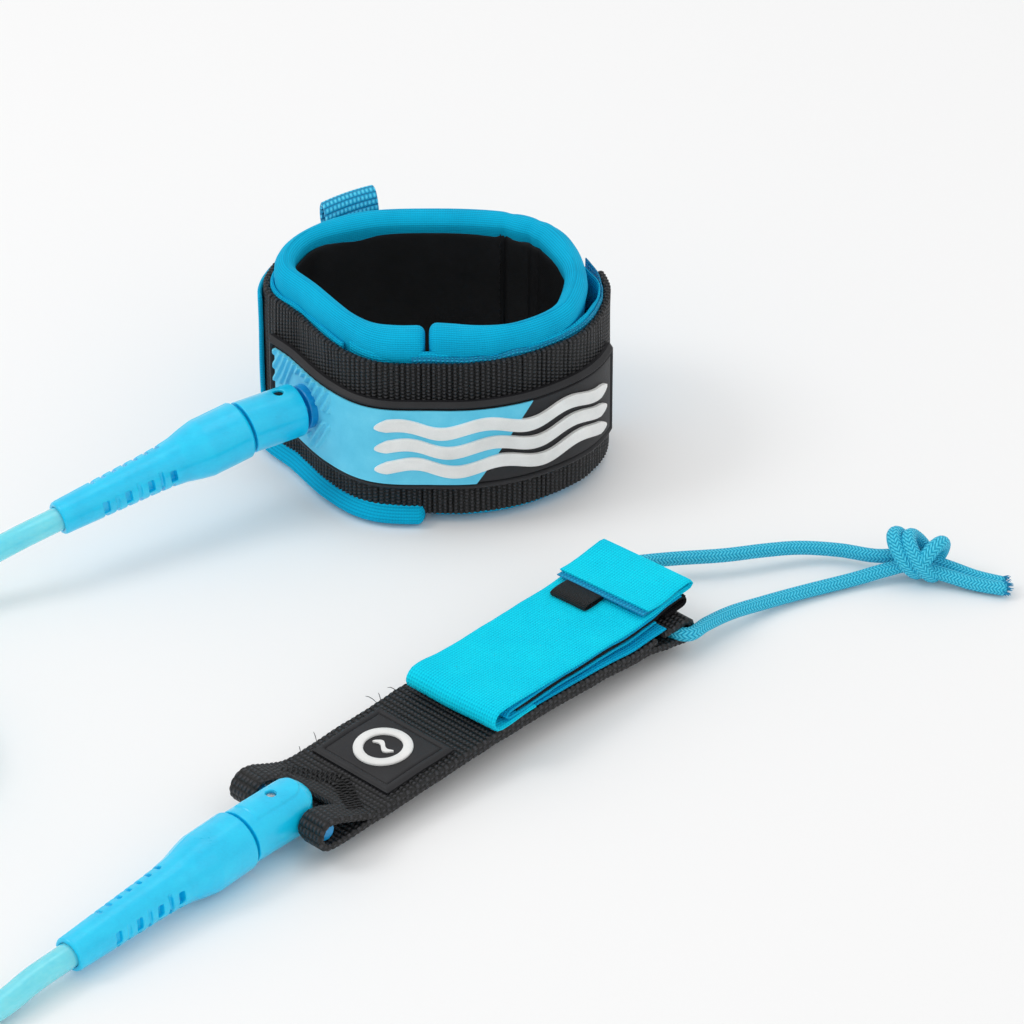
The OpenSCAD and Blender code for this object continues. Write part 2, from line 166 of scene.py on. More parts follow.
class Shader:
    def __init__(self, name, colour, roughness, **sockets):
        self.material = bpy.data.materials.new(name)
        self.material.use_nodes = True
        self.tree = self.material.node_tree
        self.bsdf = self.tree.nodes["Principled BSDF"]
        self.bsdf.inputs["Base Color"].default_value = srgb(colour)
        self.bsdf.inputs["Roughness"].default_value = roughness
        for key, value in sockets.items():
            self.bsdf.inputs[key.replace("_", " ")].default_value = value

    def add(self, kind, **properties):
        node = self.tree.nodes.new(kind)
        for key, value in properties.items():
            setattr(node, key, value)
        return node

    def join(self, value, socket):
        if isinstance(value, Value):
            self.tree.links.new(value.socket, socket)
        else:
            socket.default_value = value

    def math(self, operation, *values):
        node = self.add("ShaderNodeMath", operation=operation)
        for value, socket in zip(values, node.inputs):
            self.join(value, socket)
        return Value(self, node.outputs[0])

    def weave_uv(self):
        """Millimetres along and across the piece."""
        node = self.add("ShaderNodeUVMap", uv_map="weave")
        parts = self.add("ShaderNodeSeparateXYZ")
        self.tree.links.new(node.outputs[0], parts.inputs[0])
        return Value(self, parts.outputs[0]) * 1000.0, Value(self, parts.outputs[1]) * 1000.0

    def noise(self, size, detail=3.0, stretch=None, roughness=0.55):
        """Noise whose features are about size millimetres."""
        node = self.add("ShaderNodeTexNoise")
        node.inputs["Scale"].default_value = 1000.0 / size
        node.inputs["Detail"].default_value = detail
        node.inputs["Roughness"].default_value = roughness
        coordinates = self.add("ShaderNodeTexCoord")
        if stretch:
            mapping = self.add("ShaderNodeMapping")
            mapping.inputs["Scale"].default_value = stretch
            self.tree.links.new(coordinates.outputs["Object"], mapping.inputs[0])
            self.tree.links.new(mapping.outputs[0], node.inputs["Vector"])
        else:
            self.tree.links.new(coordinates.outputs["Object"], node.inputs["Vector"])
        return Value(self, node.outputs["Fac"])

    def blend(self, amount, stops):
        """Colour ramp over (position, colour) stops."""
        node = self.add("ShaderNodeValToRGB")
        ramp = node.color_ramp
        while len(ramp.elements) < len(stops):
            ramp.elements.new(0.5)
        for element, (place, colour) in zip(ramp.elements, stops):
            element.position = place
            element.color = srgb(colour)
        self.join(amount, node.inputs[0])
        return Value(self, node.outputs[0])

    def colour(self, amount, stops):
        self.join(self.blend(amount, stops), self.bsdf.inputs["Base Color"])
        return self

    def rough(self, amount, least, most):
        node = self.add("ShaderNodeMapRange")
        self.join(amount, node.inputs["Value"])
        node.inputs["To Min"].default_value = least
        node.inputs["To Max"].default_value = most
        self.tree.links.new(node.outputs["Result"], self.bsdf.inputs["Roughness"])
        return self

    def relief(self, height, depth, strength=1.0):
        """Bump whose full height is depth millimetres."""
        node = self.add("ShaderNodeBump")
        node.inputs["Strength"].default_value = strength
        node.inputs["Distance"].default_value = depth * MM
        self.join(height, node.inputs["Height"])
        self.tree.links.new(node.outputs[0], self.bsdf.inputs["Normal"])
        return self


def ribbed_weave(shader, rib, bead):
    """Ribs across the webbing, each a row of beads, one row half a bead beside the next."""
    u, v = shader.weave_uv()
    rows = u * (1 / rib)
    parity = shader.math("MODULO", rows.floor(), 2.0) * 0.5
    beads = (v * (1 / bead) + parity).wave()
    ribs = rows.wave() ** 0.7
    return ribs * (beads * 0.7 + 0.3)


def neoprene():
    s = Shader("neoprene", "#00a0cc", 0.9, Specular_IOR_Level=0.12)
    u, v = s.weave_uv()
    fine = s.noise(0.5, 2)
    ribs = (v * (1 / 0.62) + fine * 0.25).wave()
    stitch = (u * (1 / 0.7) + ribs * 0.4).wave()
    height = ribs * 0.7 + stitch * 0.3 + fine * 0.35
    # Colour follows the rib and stitch relief: painted shade in the grooves and a lighter painted highlight on the
    # tops; the slow noise is random tone.
    s.colour(height * 0.55 + s.noise(14, 3) * 0.45, [(0.2, "#007ba8"), (0.5, "#00a0cc"), (0.85, "#06bbe6")])
    s.rough(fine, 0.7, 0.95)
    return s.relief(height, 0.1)


def lining():
    s = Shader("lining", "#0a0a0b", 0.5, Specular_IOR_Level=0.4)
    u, v = s.weave_uv()
    knit = (u * (1 / 0.5)).wave() * (v * (1 / 0.6)).wave()
    fine = s.noise(0.7, 3)
    s.colour(s.noise(9, 3), [(0.3, "#070708"), (0.75, "#121214")])
    s.rough(fine, 0.42, 0.62)
    return s.relief(knit * 0.5 + fine * 0.5, 0.06)


def webbing(name="webbing", stops=("#000000", "#060607", "#303035"), rib=1.45, bead=1.15, shine=0.5):
    s = Shader(name, stops[1], 0.6, Specular_IOR_Level=shine)
    height = ribbed_weave(s, rib, bead)
    fibres = s.noise(0.22, 3)
    # Colour follows the weave's relief: painted shade in the grooves between ribs and beads (first stop), painted
    # glints on the bead tops (last stop) and on the fibre noise; the slow noise is random tone.
    glint_shade_and_tone = height * 0.72 + fibres * 0.3 + s.noise(7, 2) * 0.12
    s.colour(glint_shade_and_tone, [(0.28, stops[0]), (0.6, stops[1]), (0.95, stops[2])])
    s.rough(fibres, 0.32, 0.7)
    return s.relief(height + fibres * 0.25, 0.55)


def loop_tape(name, stops, depth=0.16):
    """Brushed nylon loops in faint rows."""
    s = Shader(name, stops[1], 0.9, Specular_IOR_Level=0.1)
    u, v = s.weave_uv()
    fuzz = s.noise(0.45, 4)
    rows = (v * (1 / 0.85) + fuzz * 0.3).wave()
    knots = (u * (1 / 0.95) + rows * 0.35).wave()
    height = rows * 0.5 + knots * 0.4 + fuzz * 0.6
    # Colour follows the loop relief: painted shade between the rows and knots and lighter painted highlight on their
    # tops; the slow noise is random tone.
    s.colour(height * 0.55 + s.noise(16, 3) * 0.4, [(0.25, stops[0]), (0.55, stops[1]), (0.9, stops[2])])
    s.rough(fuzz, 0.75, 0.98)
    return s.relief(height, depth)


def hook_tape():
    s = Shader("hook_tape", "#0098cc", 0.55, Specular_IOR_Level=0.3)
    u, v = s.weave_uv()
    hooks = (u * (1 / 1.3)).wave() * (v * (1 / 1.1)).wave()
    fine = s.noise(0.4, 3)
    # Colour follows the hook relief: painted shade between the hooks and a painted highlight on their tops (the
    # brightest stop); the fine noise is random tone.
    s.colour(hooks * 0.7 + fine * 0.3, [(0.2, "#0080b0"), (0.55, "#00a4d4"), (0.9, "#20c8f0")])
    s.rough(fine, 0.4, 0.7)
    return s.relief(hooks ** 2.0 + fine * 0.3, 0.4)


def plastic(name, stops, clear=0.35):
    """Soft moulded urethane: faint flow marks, fine scratches and a matt bloom."""
    s = Shader(name, stops[1], 0.3, Subsurface_Weight=0.1, Subsurface_Scale=0.002, Coat_Weight=clear,
               Coat_Roughness=0.16, IOR=1.45)
    s.bsdf.inputs["Subsurface Radius"].default_value = (0.3, 0.8, 1.0)
    bloom = s.noise(6, 4)
    scratch = s.noise(0.6, 4, stretch=(0.35, 1.0, 1.6))
    s.colour(bloom * 0.7 + scratch * 0.3, [(0.3, stops[0]), (0.5, stops[1]), (0.75, stops[2])])
    s.rough(scratch * 0.6 + bloom * 0.4, 0.2, 0.42)
    return s.relief(scratch * 0.5 + s.noise(1.6, 3) * 0.7, 0.035)


def rubber(name, stops, depth=0.05):
    s = Shader(name, stops[1], 0.55, Specular_IOR_Level=0.4)
    grain = s.noise(0.35, 3)
    s.colour(s.noise(8, 4) * 0.75 + grain * 0.25, [(0.3, stops[0]), (0.55, stops[1]), (0.8, stops[2])])
    s.rough(grain, 0.42, 0.66)
    return s.relief(grain * 0.6 + s.noise(2.2, 2) * 0.6, depth)


def metal(name, colour, dark):
    s = Shader(name, colour, 0.25, Metallic=1.0)
    brushed = s.noise(0.8, 3, stretch=(1.0, 1.0, 4.0))
    s.colour(brushed, [(0.3, dark), (0.7, colour)])
    s.rough(brushed, 0.16, 0.4)
    return s.relief(brushed, 0.02)


def urethane_cord():
    s = Shader("cord", "#88eefc", 0.16, Transmission_Weight=0.15, Subsurface_Weight=0.5, Subsurface_Scale=0.004,
               Coat_Weight=1.0, Coat_Roughness=0.04, IOR=1.46)
    s.bsdf.inputs["Subsurface Radius"].default_value = (0.4, 1.0, 1.0)
    haze = s.noise(9, 3)
    fine = s.noise(0.8, 3, stretch=(0.4, 0.4, 1.0))
    s.colour(haze * 0.7 + fine * 0.3, [(0.3, "#62e2fb"), (0.55, "#78ebfe"), (0.8, "#94f2ff")])
    s.rough(fine, 0.06, 0.16)
    return s.relief(fine * 0.4 + haze * 0.6, 0.015)


def braid(name="string", around=2.0):
    """Braided sleeve: rows of slanted stitches whose slant turns over from row to row."""
    s = Shader(name, "#10c0e8", 0.55, Specular_IOR_Level=0.4)
    u, v = s.weave_uv()
    rows = v * (1 / 1.05)
    fold = s.math("PINGPONG", rows, 1.0)
    strands = (u * (1 / 1.0) + fold * 0.9).wave()
    ridge = rows.wave() ** 0.5
    fibres = s.noise(0.2, 3)
    height = strands * 0.75 * (ridge * 0.5 + 0.5)
    # Colour follows the strand relief: painted shade between the strands and a painted highlight on their tops (the
    # brightest stop); the fibre noise is random tone.
    s.colour(height * 0.8 + fibres * 0.3, [(0.15, "#0088b6"), (0.45, "#08bce4"), (0.9, "#6ceaff")])
    s.rough(fibres, 0.42, 0.75)
    return s.relief(height + fibres * 0.15, 0.3)


M = {
    "neoprene": neoprene(),
    "lining": lining(),
    "webbing": webbing(),
    # In each webbing ramp the first stop is painted shade in the grooves and the last stop a painted glint on the bead
    # tops.
    "tab_webbing": webbing("tab_webbing", ("#007eb0", "#06b4e6", "#5ce0ff"), 1.7, 1.2, 0.4),
    "loop": loop_tape("loop_tape", ("#00b2da", "#04d2f4", "#14e8ff"), 0.26),
    "edge": loop_tape("edge_tape", ("#008cbc", "#00aadc", "#0cc4ee"), 0.3),
    "black_loop": loop_tape("black_loop", ("#060607", "#121214", "#26262a"), 0.3),
    "hook": hook_tape(),
    "plastic": plastic("swivel_plastic", ("#02c4f0", "#06cef9", "#12d8ff")),
    "boss": plastic("boss_plastic", ("#0084c0", "#0092d0", "#0ca2dc")),
    "rubber": rubber("patch_rubber", ("#17171a", "#1f1f22", "#2b2b2f")),
    "inlay": rubber("patch_inlay", ("#58c9ea", "#66d3f2", "#7adef8")),
    "white": rubber("emblem", ("#e4e4e2", "#f0f0ee", "#fafaf8")),
    "rail_webbing": webbing("rail_webbing", rib=1.8, bead=1.3),
    "thread": webbing("thread", ("#08080a", "#1a1a1d", "#303036"), 0.5, 0.5, 0.5),
    "tag": webbing("tag", ("#060607", "#111113", "#1e1e21"), 0.45, 0.5, 0.45),
    "steel": metal("steel", "#dcdcdc", "#9a9a9c"),
    "dark_steel": metal("dark_steel", "#4a4a4e", "#1c1c1e"),
    "cord": urethane_cord(),
    "string": braid(),
}


# ---------------------------------------------------------------- mesh tools
def make(name, verts, faces, material, body=None, nodes=(), slot=None, uvs=None, angle=42):
    mesh = bpy.data.meshes.new(name)
    mesh.from_pydata([tuple(v * MM) for v in verts], [], faces)
    if uvs:
        layer = mesh.uv_layers.new(name="weave")
        layer.data.foreach_set("uv", [c * MM for uv in uvs for c in uv])
    work = bmesh.new()
    work.from_mesh(mesh)
    bmesh.ops.recalc_face_normals(work, faces=work.faces)
    work.to_mesh(mesh)
    work.free()
    return finish_piece(name, mesh, material, body, nodes, angle)


def finish_piece(name, mesh, material, body, nodes, angle=42):
    mesh.shade_smooth()
    mesh.set_sharp_from_angle(angle=math.radians(angle))
    mesh.materials.clear()
    mesh.materials.append(M[material].material)
    piece = bpy.data.objects.new(name, mesh)
    SCENE.collection.objects.link(piece)
    if body:
        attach(piece, body)
    if nodes:
        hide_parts(*nodes)
    return piece


def rings(points):
    """Tangent and two side directions at each point, without twist."""
    tangents = []
    for i in range(len(points)):
        a, b = points[max(i - 1, 0)], points[min(i + 1, len(points) - 1)]
        tangents.append((b - a).normalized())
    side = tangents[0].cross(UP)
    if side.length < 0.1:
        side = tangents[0].cross(Vector((1, 0, 0)))
    side.normalize()
    out = []
    for t in tangents:
        side = (side - t * side.dot(t)).normalized()
        out.append((t, side, t.cross(side).normalized()))
    return out


def tube(name, points, radius, material, sides=14, round_ends=True, **kw):
    """Tube along points, with its length and girth in the weave map. radius may be a function of 0 to 1."""
    size = radius if callable(radius) else (lambda t: radius)
    frames = rings(points)
    stations = [(p, f, size(i / (len(points) - 1))) for i, (p, f) in enumerate(zip(points, frames))]
    if round_ends:
        head, tail = [], []
        for share in (0.15, 0.45, 0.75):
            bulge = 0.55 * math.sqrt(1 - share)
            width = stations[0][2]
            head.append((points[0] - frames[0][0] * width * bulge, frames[0], width * math.sqrt(share)))
            tail.append((points[-1] + frames[-1][0] * stations[-1][2] * bulge, frames[-1],
                         stations[-1][2] * math.sqrt(share)))
        stations = head + stations + tail[::-1]
    verts, along = [], [0.0]
    for i, (p, (t, a, b), r) in enumerate(stations):
        if i:
            along.append(along[-1] + (p - stations[i - 1][0]).length)
        for k in range(sides):
            turn = 2 * math.pi * k / sides
            verts.append(p + a * (r * math.cos(turn)) + b * (r * math.sin(turn)))
    girth = 2 * math.pi * size(0.5)
    faces, uvs = [], []
    for i in range(len(stations) - 1):
        for k in range(sides):
            l = (k + 1) % sides
            faces.append((i * sides + k, (i + 1) * sides + k, (i + 1) * sides + l, i * sides + l))
            v0, v1 = girth * k / sides, girth * (k + 1) / sides
            uvs += [(along[i], v0), (along[i + 1], v0), (along[i + 1], v1), (along[i], v1)]
    last = (len(stations) - 1) * sides
    for start, u in ((0, 0.0), (last, along[-1])):
        faces.append(tuple(range(start, start + sides)))
        uvs += [(u, girth * k / sides) for k in range(sides)]
    return make(name, verts, faces, material, uvs=uvs, **kw)


def cloth(name, us, vs, place, material, thick=1.0, keep=None, ruler=None, rounding=0.45, **kw):
    """Sheet with two faces and a wall round every edge, hollow cells left out where keep says so.

    place(u, v) gives a point and the direction of its outer face; thick is a thickness, or a
    function that gives how far the two faces are from that point.
    """
    faces_at = thick if callable(thick) else (lambda u, v: (-thick / 2, thick / 2))
    ruler = ruler or (lambda u: u)
    cells = {(i, j) for i in range(len(us) - 1) for j in range(len(vs) - 1)
             if keep is None or keep((us[i] + us[i + 1]) / 2, (vs[j] + vs[j + 1]) / 2)}
    verts, index, measure = [], {}, []
    for i, u in enumerate(us):
        for j, v in enumerate(vs):
            near = [(i + a, j + b) in cells for a in (-1, 0) for b in (-1, 0)]
            if not any(near):
                continue
            point, normal = place(u, v)
            below, above = faces_at(u, v)
            if not all(near):
                centre, half = (below + above) / 2, (above - below) / 2 * rounding
                below, above = centre - half, centre + half
            index[i, j] = len(verts)
            verts += [point + normal * below, point + normal * above]
            measure += [(ruler(u), v), (ruler(u), v)]
    faces, uvs = [], []

    def face(corners, slip=0.0):
        faces.append(tuple(corners))
        uvs.extend((measure[c][0], measure[c][1] + slip * (c % 2)) for c in corners)

    for i, j in sorted(cells):
        a, b, c, d = index[i, j], index[i + 1, j], index[i + 1, j + 1], index[i, j + 1]
        face((a, d, c, b))
        face((a + 1, b + 1, c + 1, d + 1))
        for near, p, q in (((i, j - 1), a, b), ((i + 1, j), b, c), ((i, j + 1), c, d), ((i - 1, j), d, a)):
            if near not in cells:
                face((p, q, q + 1, p + 1), 1.0)
    return make(name, verts, faces, material, uvs=uvs, **kw)


def join_meshes(name, parts, material, **kw):
    """One piece from several (verts, faces) lists."""
    verts, faces = [], []
    for v, f in parts:
        base = len(verts)
        verts += v
        faces += [tuple(base + i for i in face) for face in f]
    return make(name, verts, faces, material, **kw)


def bead(a, b, radius, sides=7, lift=0.0, outward=None):
    """Short rounded rod from a to b, bowed outwards: a stitch or a fibre."""
    verts, faces = [], []
    direction = (b - a).normalized()
    side = direction.cross(outward or UP).normalized()
    other = side.cross(direction)
    steps = (0.0, 0.12, 0.35, 0.65, 0.88, 1.0)
    for t in steps:
        r = radius * math.sqrt(max(0.06, 1 - abs(2 * t - 1) ** 3))
        p = a.lerp(b, t) + (outward or UP) * (lift * math.sin(math.pi * t))
        for k in range(sides):
            turn = 2 * math.pi * k / sides
            verts.append(p + side * (r * math.cos(turn)) + other * (r * math.sin(turn)))
    for i in range(len(steps) - 1):
        for k in range(sides):
            l = (k + 1) % sides
            faces.append((i * sides + k, (i + 1) * sides + k, (i + 1) * sides + l, i * sides + l))
    faces += [tuple(range(sides)), tuple(range(len(verts) - sides, len(verts)))]
    return verts, faces


def moulded(node, name, material, body, voxel=0.22, rounds=3, shape=None):
    """Moulded piece: the CAD node's own shape with its edges rounded over."""
    source = frame["nodes"][node]
    piece = bpy.data.objects.new(name, source.data.copy())
    SCENE.collection.objects.link(piece)
    remesh = piece.modifiers.new("remesh", "REMESH")
    remesh.mode = "VOXEL"
    remesh.voxel_size = voxel * MM
    ease = piece.modifiers.new("ease", "SMOOTH")
    ease.factor = 0.5
    ease.iterations = rounds
    graph = bpy.context.evaluated_depsgraph_get()
    mesh = bpy.data.meshes.new_from_object(piece.evaluated_get(graph))
    bpy.data.objects.remove(piece)
    if shape:
        for v in mesh.vertices:
            v.co = shape(v.co / MM) * MM
    mesh.name = name
    return finish_piece(name, mesh, material, body, (node,), 60)


# ---------------------------------------------------------------- places taken from the frame
CUFF_TURN = math.radians(214)
CUFF_DROOP = math.radians(8)
RAIL_TURN = math.radians(227.5)
RAIL_DROOP = math.radians(3.2)
SAVER_TURN = math.radians(46)
PIN_TO_MOUTH = 11.8
HORN_L = 61.5
CORD_SEAT = 17
BAR_AT = 17.5
SAVER_L = 136.2
CORD_R = 3.5
STRING_R = 2.0

cuff_pin = middle("cuff_pin")
bar = middle("cross_bar")


def level(turn):
    return Vector((math.cos(turn), math.sin(turn), 0))


def horn_direction(turn, droop):
    return Vector((math.cos(droop) * math.cos(turn), math.cos(droop) * math.sin(turn), -math.sin(droop)))


cuff_mouth = cuff_pin + level(CUFF_TURN) * PIN_TO_MOUTH
cuff_along = horn_direction(CUFF_TURN, CUFF_DROOP)
rail_mouth = bar + level(RAIL_TURN) * BAR_AT
rail_along = horn_direction(RAIL_TURN, RAIL_DROOP)


def smooth_route(points, n):
    out = []
    for i in range(len(points) - 1):
        a, b = points[max(i - 1, 0)], points[i]
        c, d = points[i + 1], points[min(i + 2, len(points) - 1)]
        out += [catmull(a, b, c, d, j / n) for j in range(n)]
    return out + [points[-1]]


# ---------------------------------------------------------------- urethane cord with its coil
COIL = Vector((-152, -55, 0))
COIL_OUT = 46.0
COIL_IN = 28.4
COIL_HIGH = 10.65
COIL_LOW = 3.6


def coil_point(degrees, radius, z):
    a = math.radians(degrees)
    return COIL + Vector((radius * math.cos(a), radius * math.sin(a), z))


upper_turn, drop_turn, lower_turn = 875, 90, 893
coil = []
for k in range(1, 31):
    t = k / 30
    coil.append(coil_point(122 + upper_turn * t, COIL_OUT + (COIL_IN - COIL_OUT) * t, COIL_HIGH))
for k in range(1, 5):
    t = k / 4
    coil.append(coil_point(122 + upper_turn + drop_turn * t, COIL_IN, COIL_HIGH + (COIL_LOW - COIL_HIGH) * smooth(t)))
for k in range(1, 32):
    t = k / 31
    turn = 122 + upper_turn + drop_turn + lower_turn * t
    coil.append(coil_point(turn, COIL_IN + (COIL_OUT - COIL_IN) * t, COIL_LOW))
straight = (CORD_SEAT, CORD_SEAT + 15, HORN_L - 14, HORN_L + 1, HORN_L + 12)
cuff_leg = [cuff_mouth + cuff_along * x for x in straight] + [
    Vector((-110, 24, 13.6)), Vector((-127, 15.2, 10.8)), Vector((-144, 4.4, 9.9)), Vector((-161, -6.5, 10.4)),
    coil_point(122, COIL_OUT, COIL_HIGH),
]
rail_leg = [rail_mouth + rail_along * x for x in straight] + [
    Vector((-91, -165, 4)), Vector((-110, -180, 3.6)), Vector((-138, -187, 3.6)), Vector((-166, -177, 3.6)),
    Vector((-186, -153, 3.6)), Vector((-195, -122, 3.6)), Vector((-198, -94, 3.6)), Vector((-198, -73, 3.6)),
]
cord_points = smooth_route(cuff_leg + coil + rail_leg[::-1], 6)
cord_length = sum((b - a).length for a, b in zip(cord_points, cord_points[1:]))
cord_line = tube("urethane_cord", cord_points, CORD_R, "cord", sides=20, round_ends=False, body="leash",
                 nodes=("cord_cuff_side", "cord_coil", "cord_rail_side"), slot="cord")
[p * MM for p in cord_points]

# the tie over the coil
tie_path = [Vector((x, 0, z)) for x, z in (
    (23.6, 0.5), (23.4, 5), (23.6, 11), (25.5, 14.6), (31, 15.3), (38, 15.1), (45, 15.2), (49.5, 14.2),
    (50.9, 10), (50.9, 4), (50.7, 0.5))]
tie_line = smooth_route(tie_path, 4)


def along_path(points):
    """Place, tangent and distance lookups along a line of points."""
    far = [0.0]
    for a, b in zip(points, points[1:]):
        far.append(far[-1] + (b - a).length)

    def at(u):
        u = min(max(u, 0.0), far[-1])
        lo_i, hi_i = 0, len(far) - 1
        while hi_i - lo_i > 1:
            m = (lo_i + hi_i) // 2
            if far[m] <= u:
                lo_i = m
            else:
                hi_i = m
        t = (u - far[lo_i]) / max(1e-9, far[hi_i] - far[lo_i])
        p = points[lo_i].lerp(points[hi_i], t)
        before, after = points[max(lo_i - 1, 0)], points[min(hi_i + 1, len(points) - 1)]
        t0 = (points[hi_i] - before).normalized()
        t1 = (after - points[lo_i]).normalized()
        return p, t0.lerp(t1, t).normalized()
    return at, far[-1]


tie_look, tie_length = along_path(tie_line)


def tie_place(u, v):
    p, t = tie_look(u)
    normal = Vector((-t.z, 0, t.x))
    return COIL + Vector((-p.x, v, p.z)), Vector((-normal.x, 0, normal.z))


cloth("coil_tie_strap", span(0, tie_length, 1.0, 0.3), span(-4, 4, 1.0, 0.3), tie_place, "black_loop", 1.1,
      body="leash", nodes=("coil_tie",), slot="webbing")

# ---------------------------------------------------------------- pull string
saver_dir = level(SAVER_TURN)
saver_side = level(SAVER_TURN + math.pi / 2)
saver_origin = Vector((bar.x, bar.y, 0))
tunnel = saver_origin + saver_dir * (SAVER_L - 4) + UP * 7
front_route = [
    tunnel, tunnel + Vector((7.2, -7, 0)), Vector((87, -2, 6.8)), Vector((92.5, 4.4, 6)), Vector((99.5, 12, 4.6)),
    Vector((109, 19.5, 2.9)), Vector((120, 25.8, 2.2)), Vector((134, 32, 2.2)), Vector((144, 35, 3.6)),
    Vector((151, 35.2, 5)), Vector((160, 32.2, 3.6)), Vector((168, 29.6, 2.4)), Vector((176, 27.4, 2.2)),
]
back_route = [
    tunnel, tunnel + Vector((-7.2, 7, 0)), Vector((63, 23.5, 7)), Vector((64.8, 30, 6.8)), Vector((72.5, 34, 6.4)),
    Vector((84, 36.5, 6.2)), Vector((98, 38.5, 6)), Vector((110, 42, 5.4)), Vector((120, 44.5, 4.6)),
    Vector((131, 44.5, 3.8)), Vector((141, 41, 4.2)), Vector((151, 39.2, 5.4)), Vector((160.5, 36.2, 3.8)),
    Vector((168.5, 33, 2.4)), Vector((175.6, 30.2, 2.2)),
]
KNOT = middle("string_knot")


def ellipse(centre, axis, yaw, lean, wide, tall, turns=24):
    """Closed wrap of the knot round the strands; its top leans back along the axis."""
    side = axis.cross(UP).normalized()
    across = (axis * math.sin(yaw) + side * math.cos(yaw)).normalized()
    over = (UP * math.cos(lean) - axis * math.sin(lean)).normalized()
    out = []
    for k in range(turns + 1):
        a = 2 * math.pi * k / turns
        out.append(centre + across * (wide * math.cos(a)) + over * (tall * math.sin(a)))
    return out


knot_axis = (Vector((168, 30, 0)) - Vector((138, 40, 0))).normalized()
knot_parts = []
KNOT_WRAPS = ((-2.9, 0.15, 0.66, 4.7, 6.2), (1.5, 0.15, 0.66, 4.7, 6.4), (4.4, -0.4, -0.35, 4.2, 4.9))
for shift, yaw, lean, wide, tall in KNOT_WRAPS:
    knot_parts.append(ellipse(Vector((KNOT.x, KNOT.y, 7.3)) + knot_axis * shift, knot_axis, yaw, lean, wide, tall))


def closed_tube(name, points, radius, material, sides=16, **kw):
    """Ring-shaped tube; the last point repeats the first."""
    pts = points[:-1]
    n = len(pts)
    fine = []
    for i in range(n):
        a, b, c, d = pts[i - 1], pts[i], pts[(i + 1) % n], pts[(i + 2) % n]
        fine += [catmull(a, b, c, d, j / 3) for j in range(3)]
    centre = sum(fine, Vector()) / len(fine)
    n = len(fine)
    verts, along = [], [0.0]
    for i, p in enumerate(fine):
        t = (fine[(i + 1) % n] - fine[i - 1]).normalized()
        a = (p - centre)
        a = (a - t * a.dot(t)).normalized()
        b = t.cross(a)
        along.append(along[-1] + (fine[(i + 1) % n] - p).length)
        for k in range(sides):
            turn = 2 * math.pi * k / sides
            verts.append(p + a * (radius * math.cos(turn)) + b * (radius * math.sin(turn)))
    faces, uvs = [], []
    girth = 2 * math.pi * radius
    for i in range(n):
        j = (i + 1) % n
        for k in range(sides):
            l = (k + 1) % sides
            faces.append((i * sides + k, j * sides + k, j * sides + l, i * sides + l))
            v0, v1 = girth * k / sides, girth * (k + 1) / sides
            uvs += [(along[i], v0), (along[i + 1], v0), (along[i + 1], v1), (along[i], v1)]
    return make(name, verts, faces, material, uvs=uvs, **kw)


knots = [closed_tube(f"knot_wrap_{i + 1}", pts, 2.15, "string", body="rail_saver", slot="string")
         for i, pts in enumerate(knot_parts)]
for wrap in knots:
    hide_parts("string_knot")
halves = []
for name, route, node, sign in (("string_front_leg", front_route, "string_front", 1),
                                ("string_back_leg", back_route, "string_back", -1)):
    points = smooth_route(route, 6)
    line = tube(name, points, STRING_R, "string", sides=16, body="rail_saver", nodes=(node,), slot="string")
    length = sum((b - a).length for a, b in zip(points, points[1:]))
    [p * MM for p in points]
    halves.append(points)
fray = []
for points in halves:
    tip, before = points[-1], points[-3]
    heading = (tip - before).normalized()
    side = heading.cross(UP).normalized()
    for _ in range(26):
        a, r = rng.uniform(0, 2 * math.pi), STRING_R * math.sqrt(rng.random()) * 0.85
        start = tip + side * (r * math.cos(a)) + UP * (r * math.sin(a))
        reach = rng.uniform(0.6, 2.6)
        end = start + heading * reach + side * rng.uniform(-1.3, 1.3) + UP * rng.uniform(-0.5, 1.5)
        end.z = max(end.z, 0.3)
        fray.append(bead(start - heading * 0.6, end, rng.uniform(0.13, 0.24), sides=5, lift=rng.uniform(0, 0.4)))
join_meshes("string_fray", fray, "string", body="rail_saver", slot="string")

# ---------------------------------------------------------------- cuff wall
OUTLINE = [Vector(p) for p in (
    (0, -37), (14, -36.3), (28, -31), (41, -20), (47, -6), (46.5, 8), (38, 24), (22, 34),
    (2, 37), (-17, 35.5), (-33, 28), (-42.4, 15.5), (-44.4, 2), (-35.5, -10.9), (-25.5, -26.5), (-15, -35.6))]
STEPS = 6
SAMPLES = len(OUTLINE) * STEPS


def ring(s):
    """Point on the pad's outer face and its outward direction, s samples from the front gap."""
    t = s / STEPS
    i = math.floor(t)
    f = t - i
    a, b, c, d = (OUTLINE[(i + k) % len(OUTLINE)] for k in (-1, 0, 1, 2))
    p = catmull(a, b, c, d, f)
    ahead = catmull(a, b, c, d, f + 0.01) - catmull(a, b, c, d, f - 0.01)
    ahead.normalize()
    return p, Vector((ahead.y, -ahead.x))


ring_far = [0.0]
for k in range(1, 2 * SAMPLES * 4 + 1):
    ring_far.append(ring_far[-1] + (ring(k / 4)[0] - ring((k - 1) / 4)[0]).length)


def ring_mm(s):
    """Distance along the outline."""
    x = (s + SAMPLES) * 4 if s < 0 else s * 4
    i = min(int(x), len(ring_far) - 2)
    far = ring_far[i] + (ring_far[i + 1] - ring_far[i]) * (x - i)
    return far - ring_far[SAMPLES * 4] if s < 0 else far


most_low = min(ring(k / 4)[0].x for k in range(SAMPLES * 4)), min(ring(k / 4)[0].y for k in range(SAMPLES * 4))
CUFF = Vector((low("cuff_pad").x - most_low[0], low("cuff_pad").y - most_low[1], 0))
PAD_H, PAD_T = 60.0, 7.5


def pocket(s):
    """How far the pad draws back from the webbing at the right."""
    return -4 * (1 - smooth(abs(s % SAMPLES - 27) / 15))


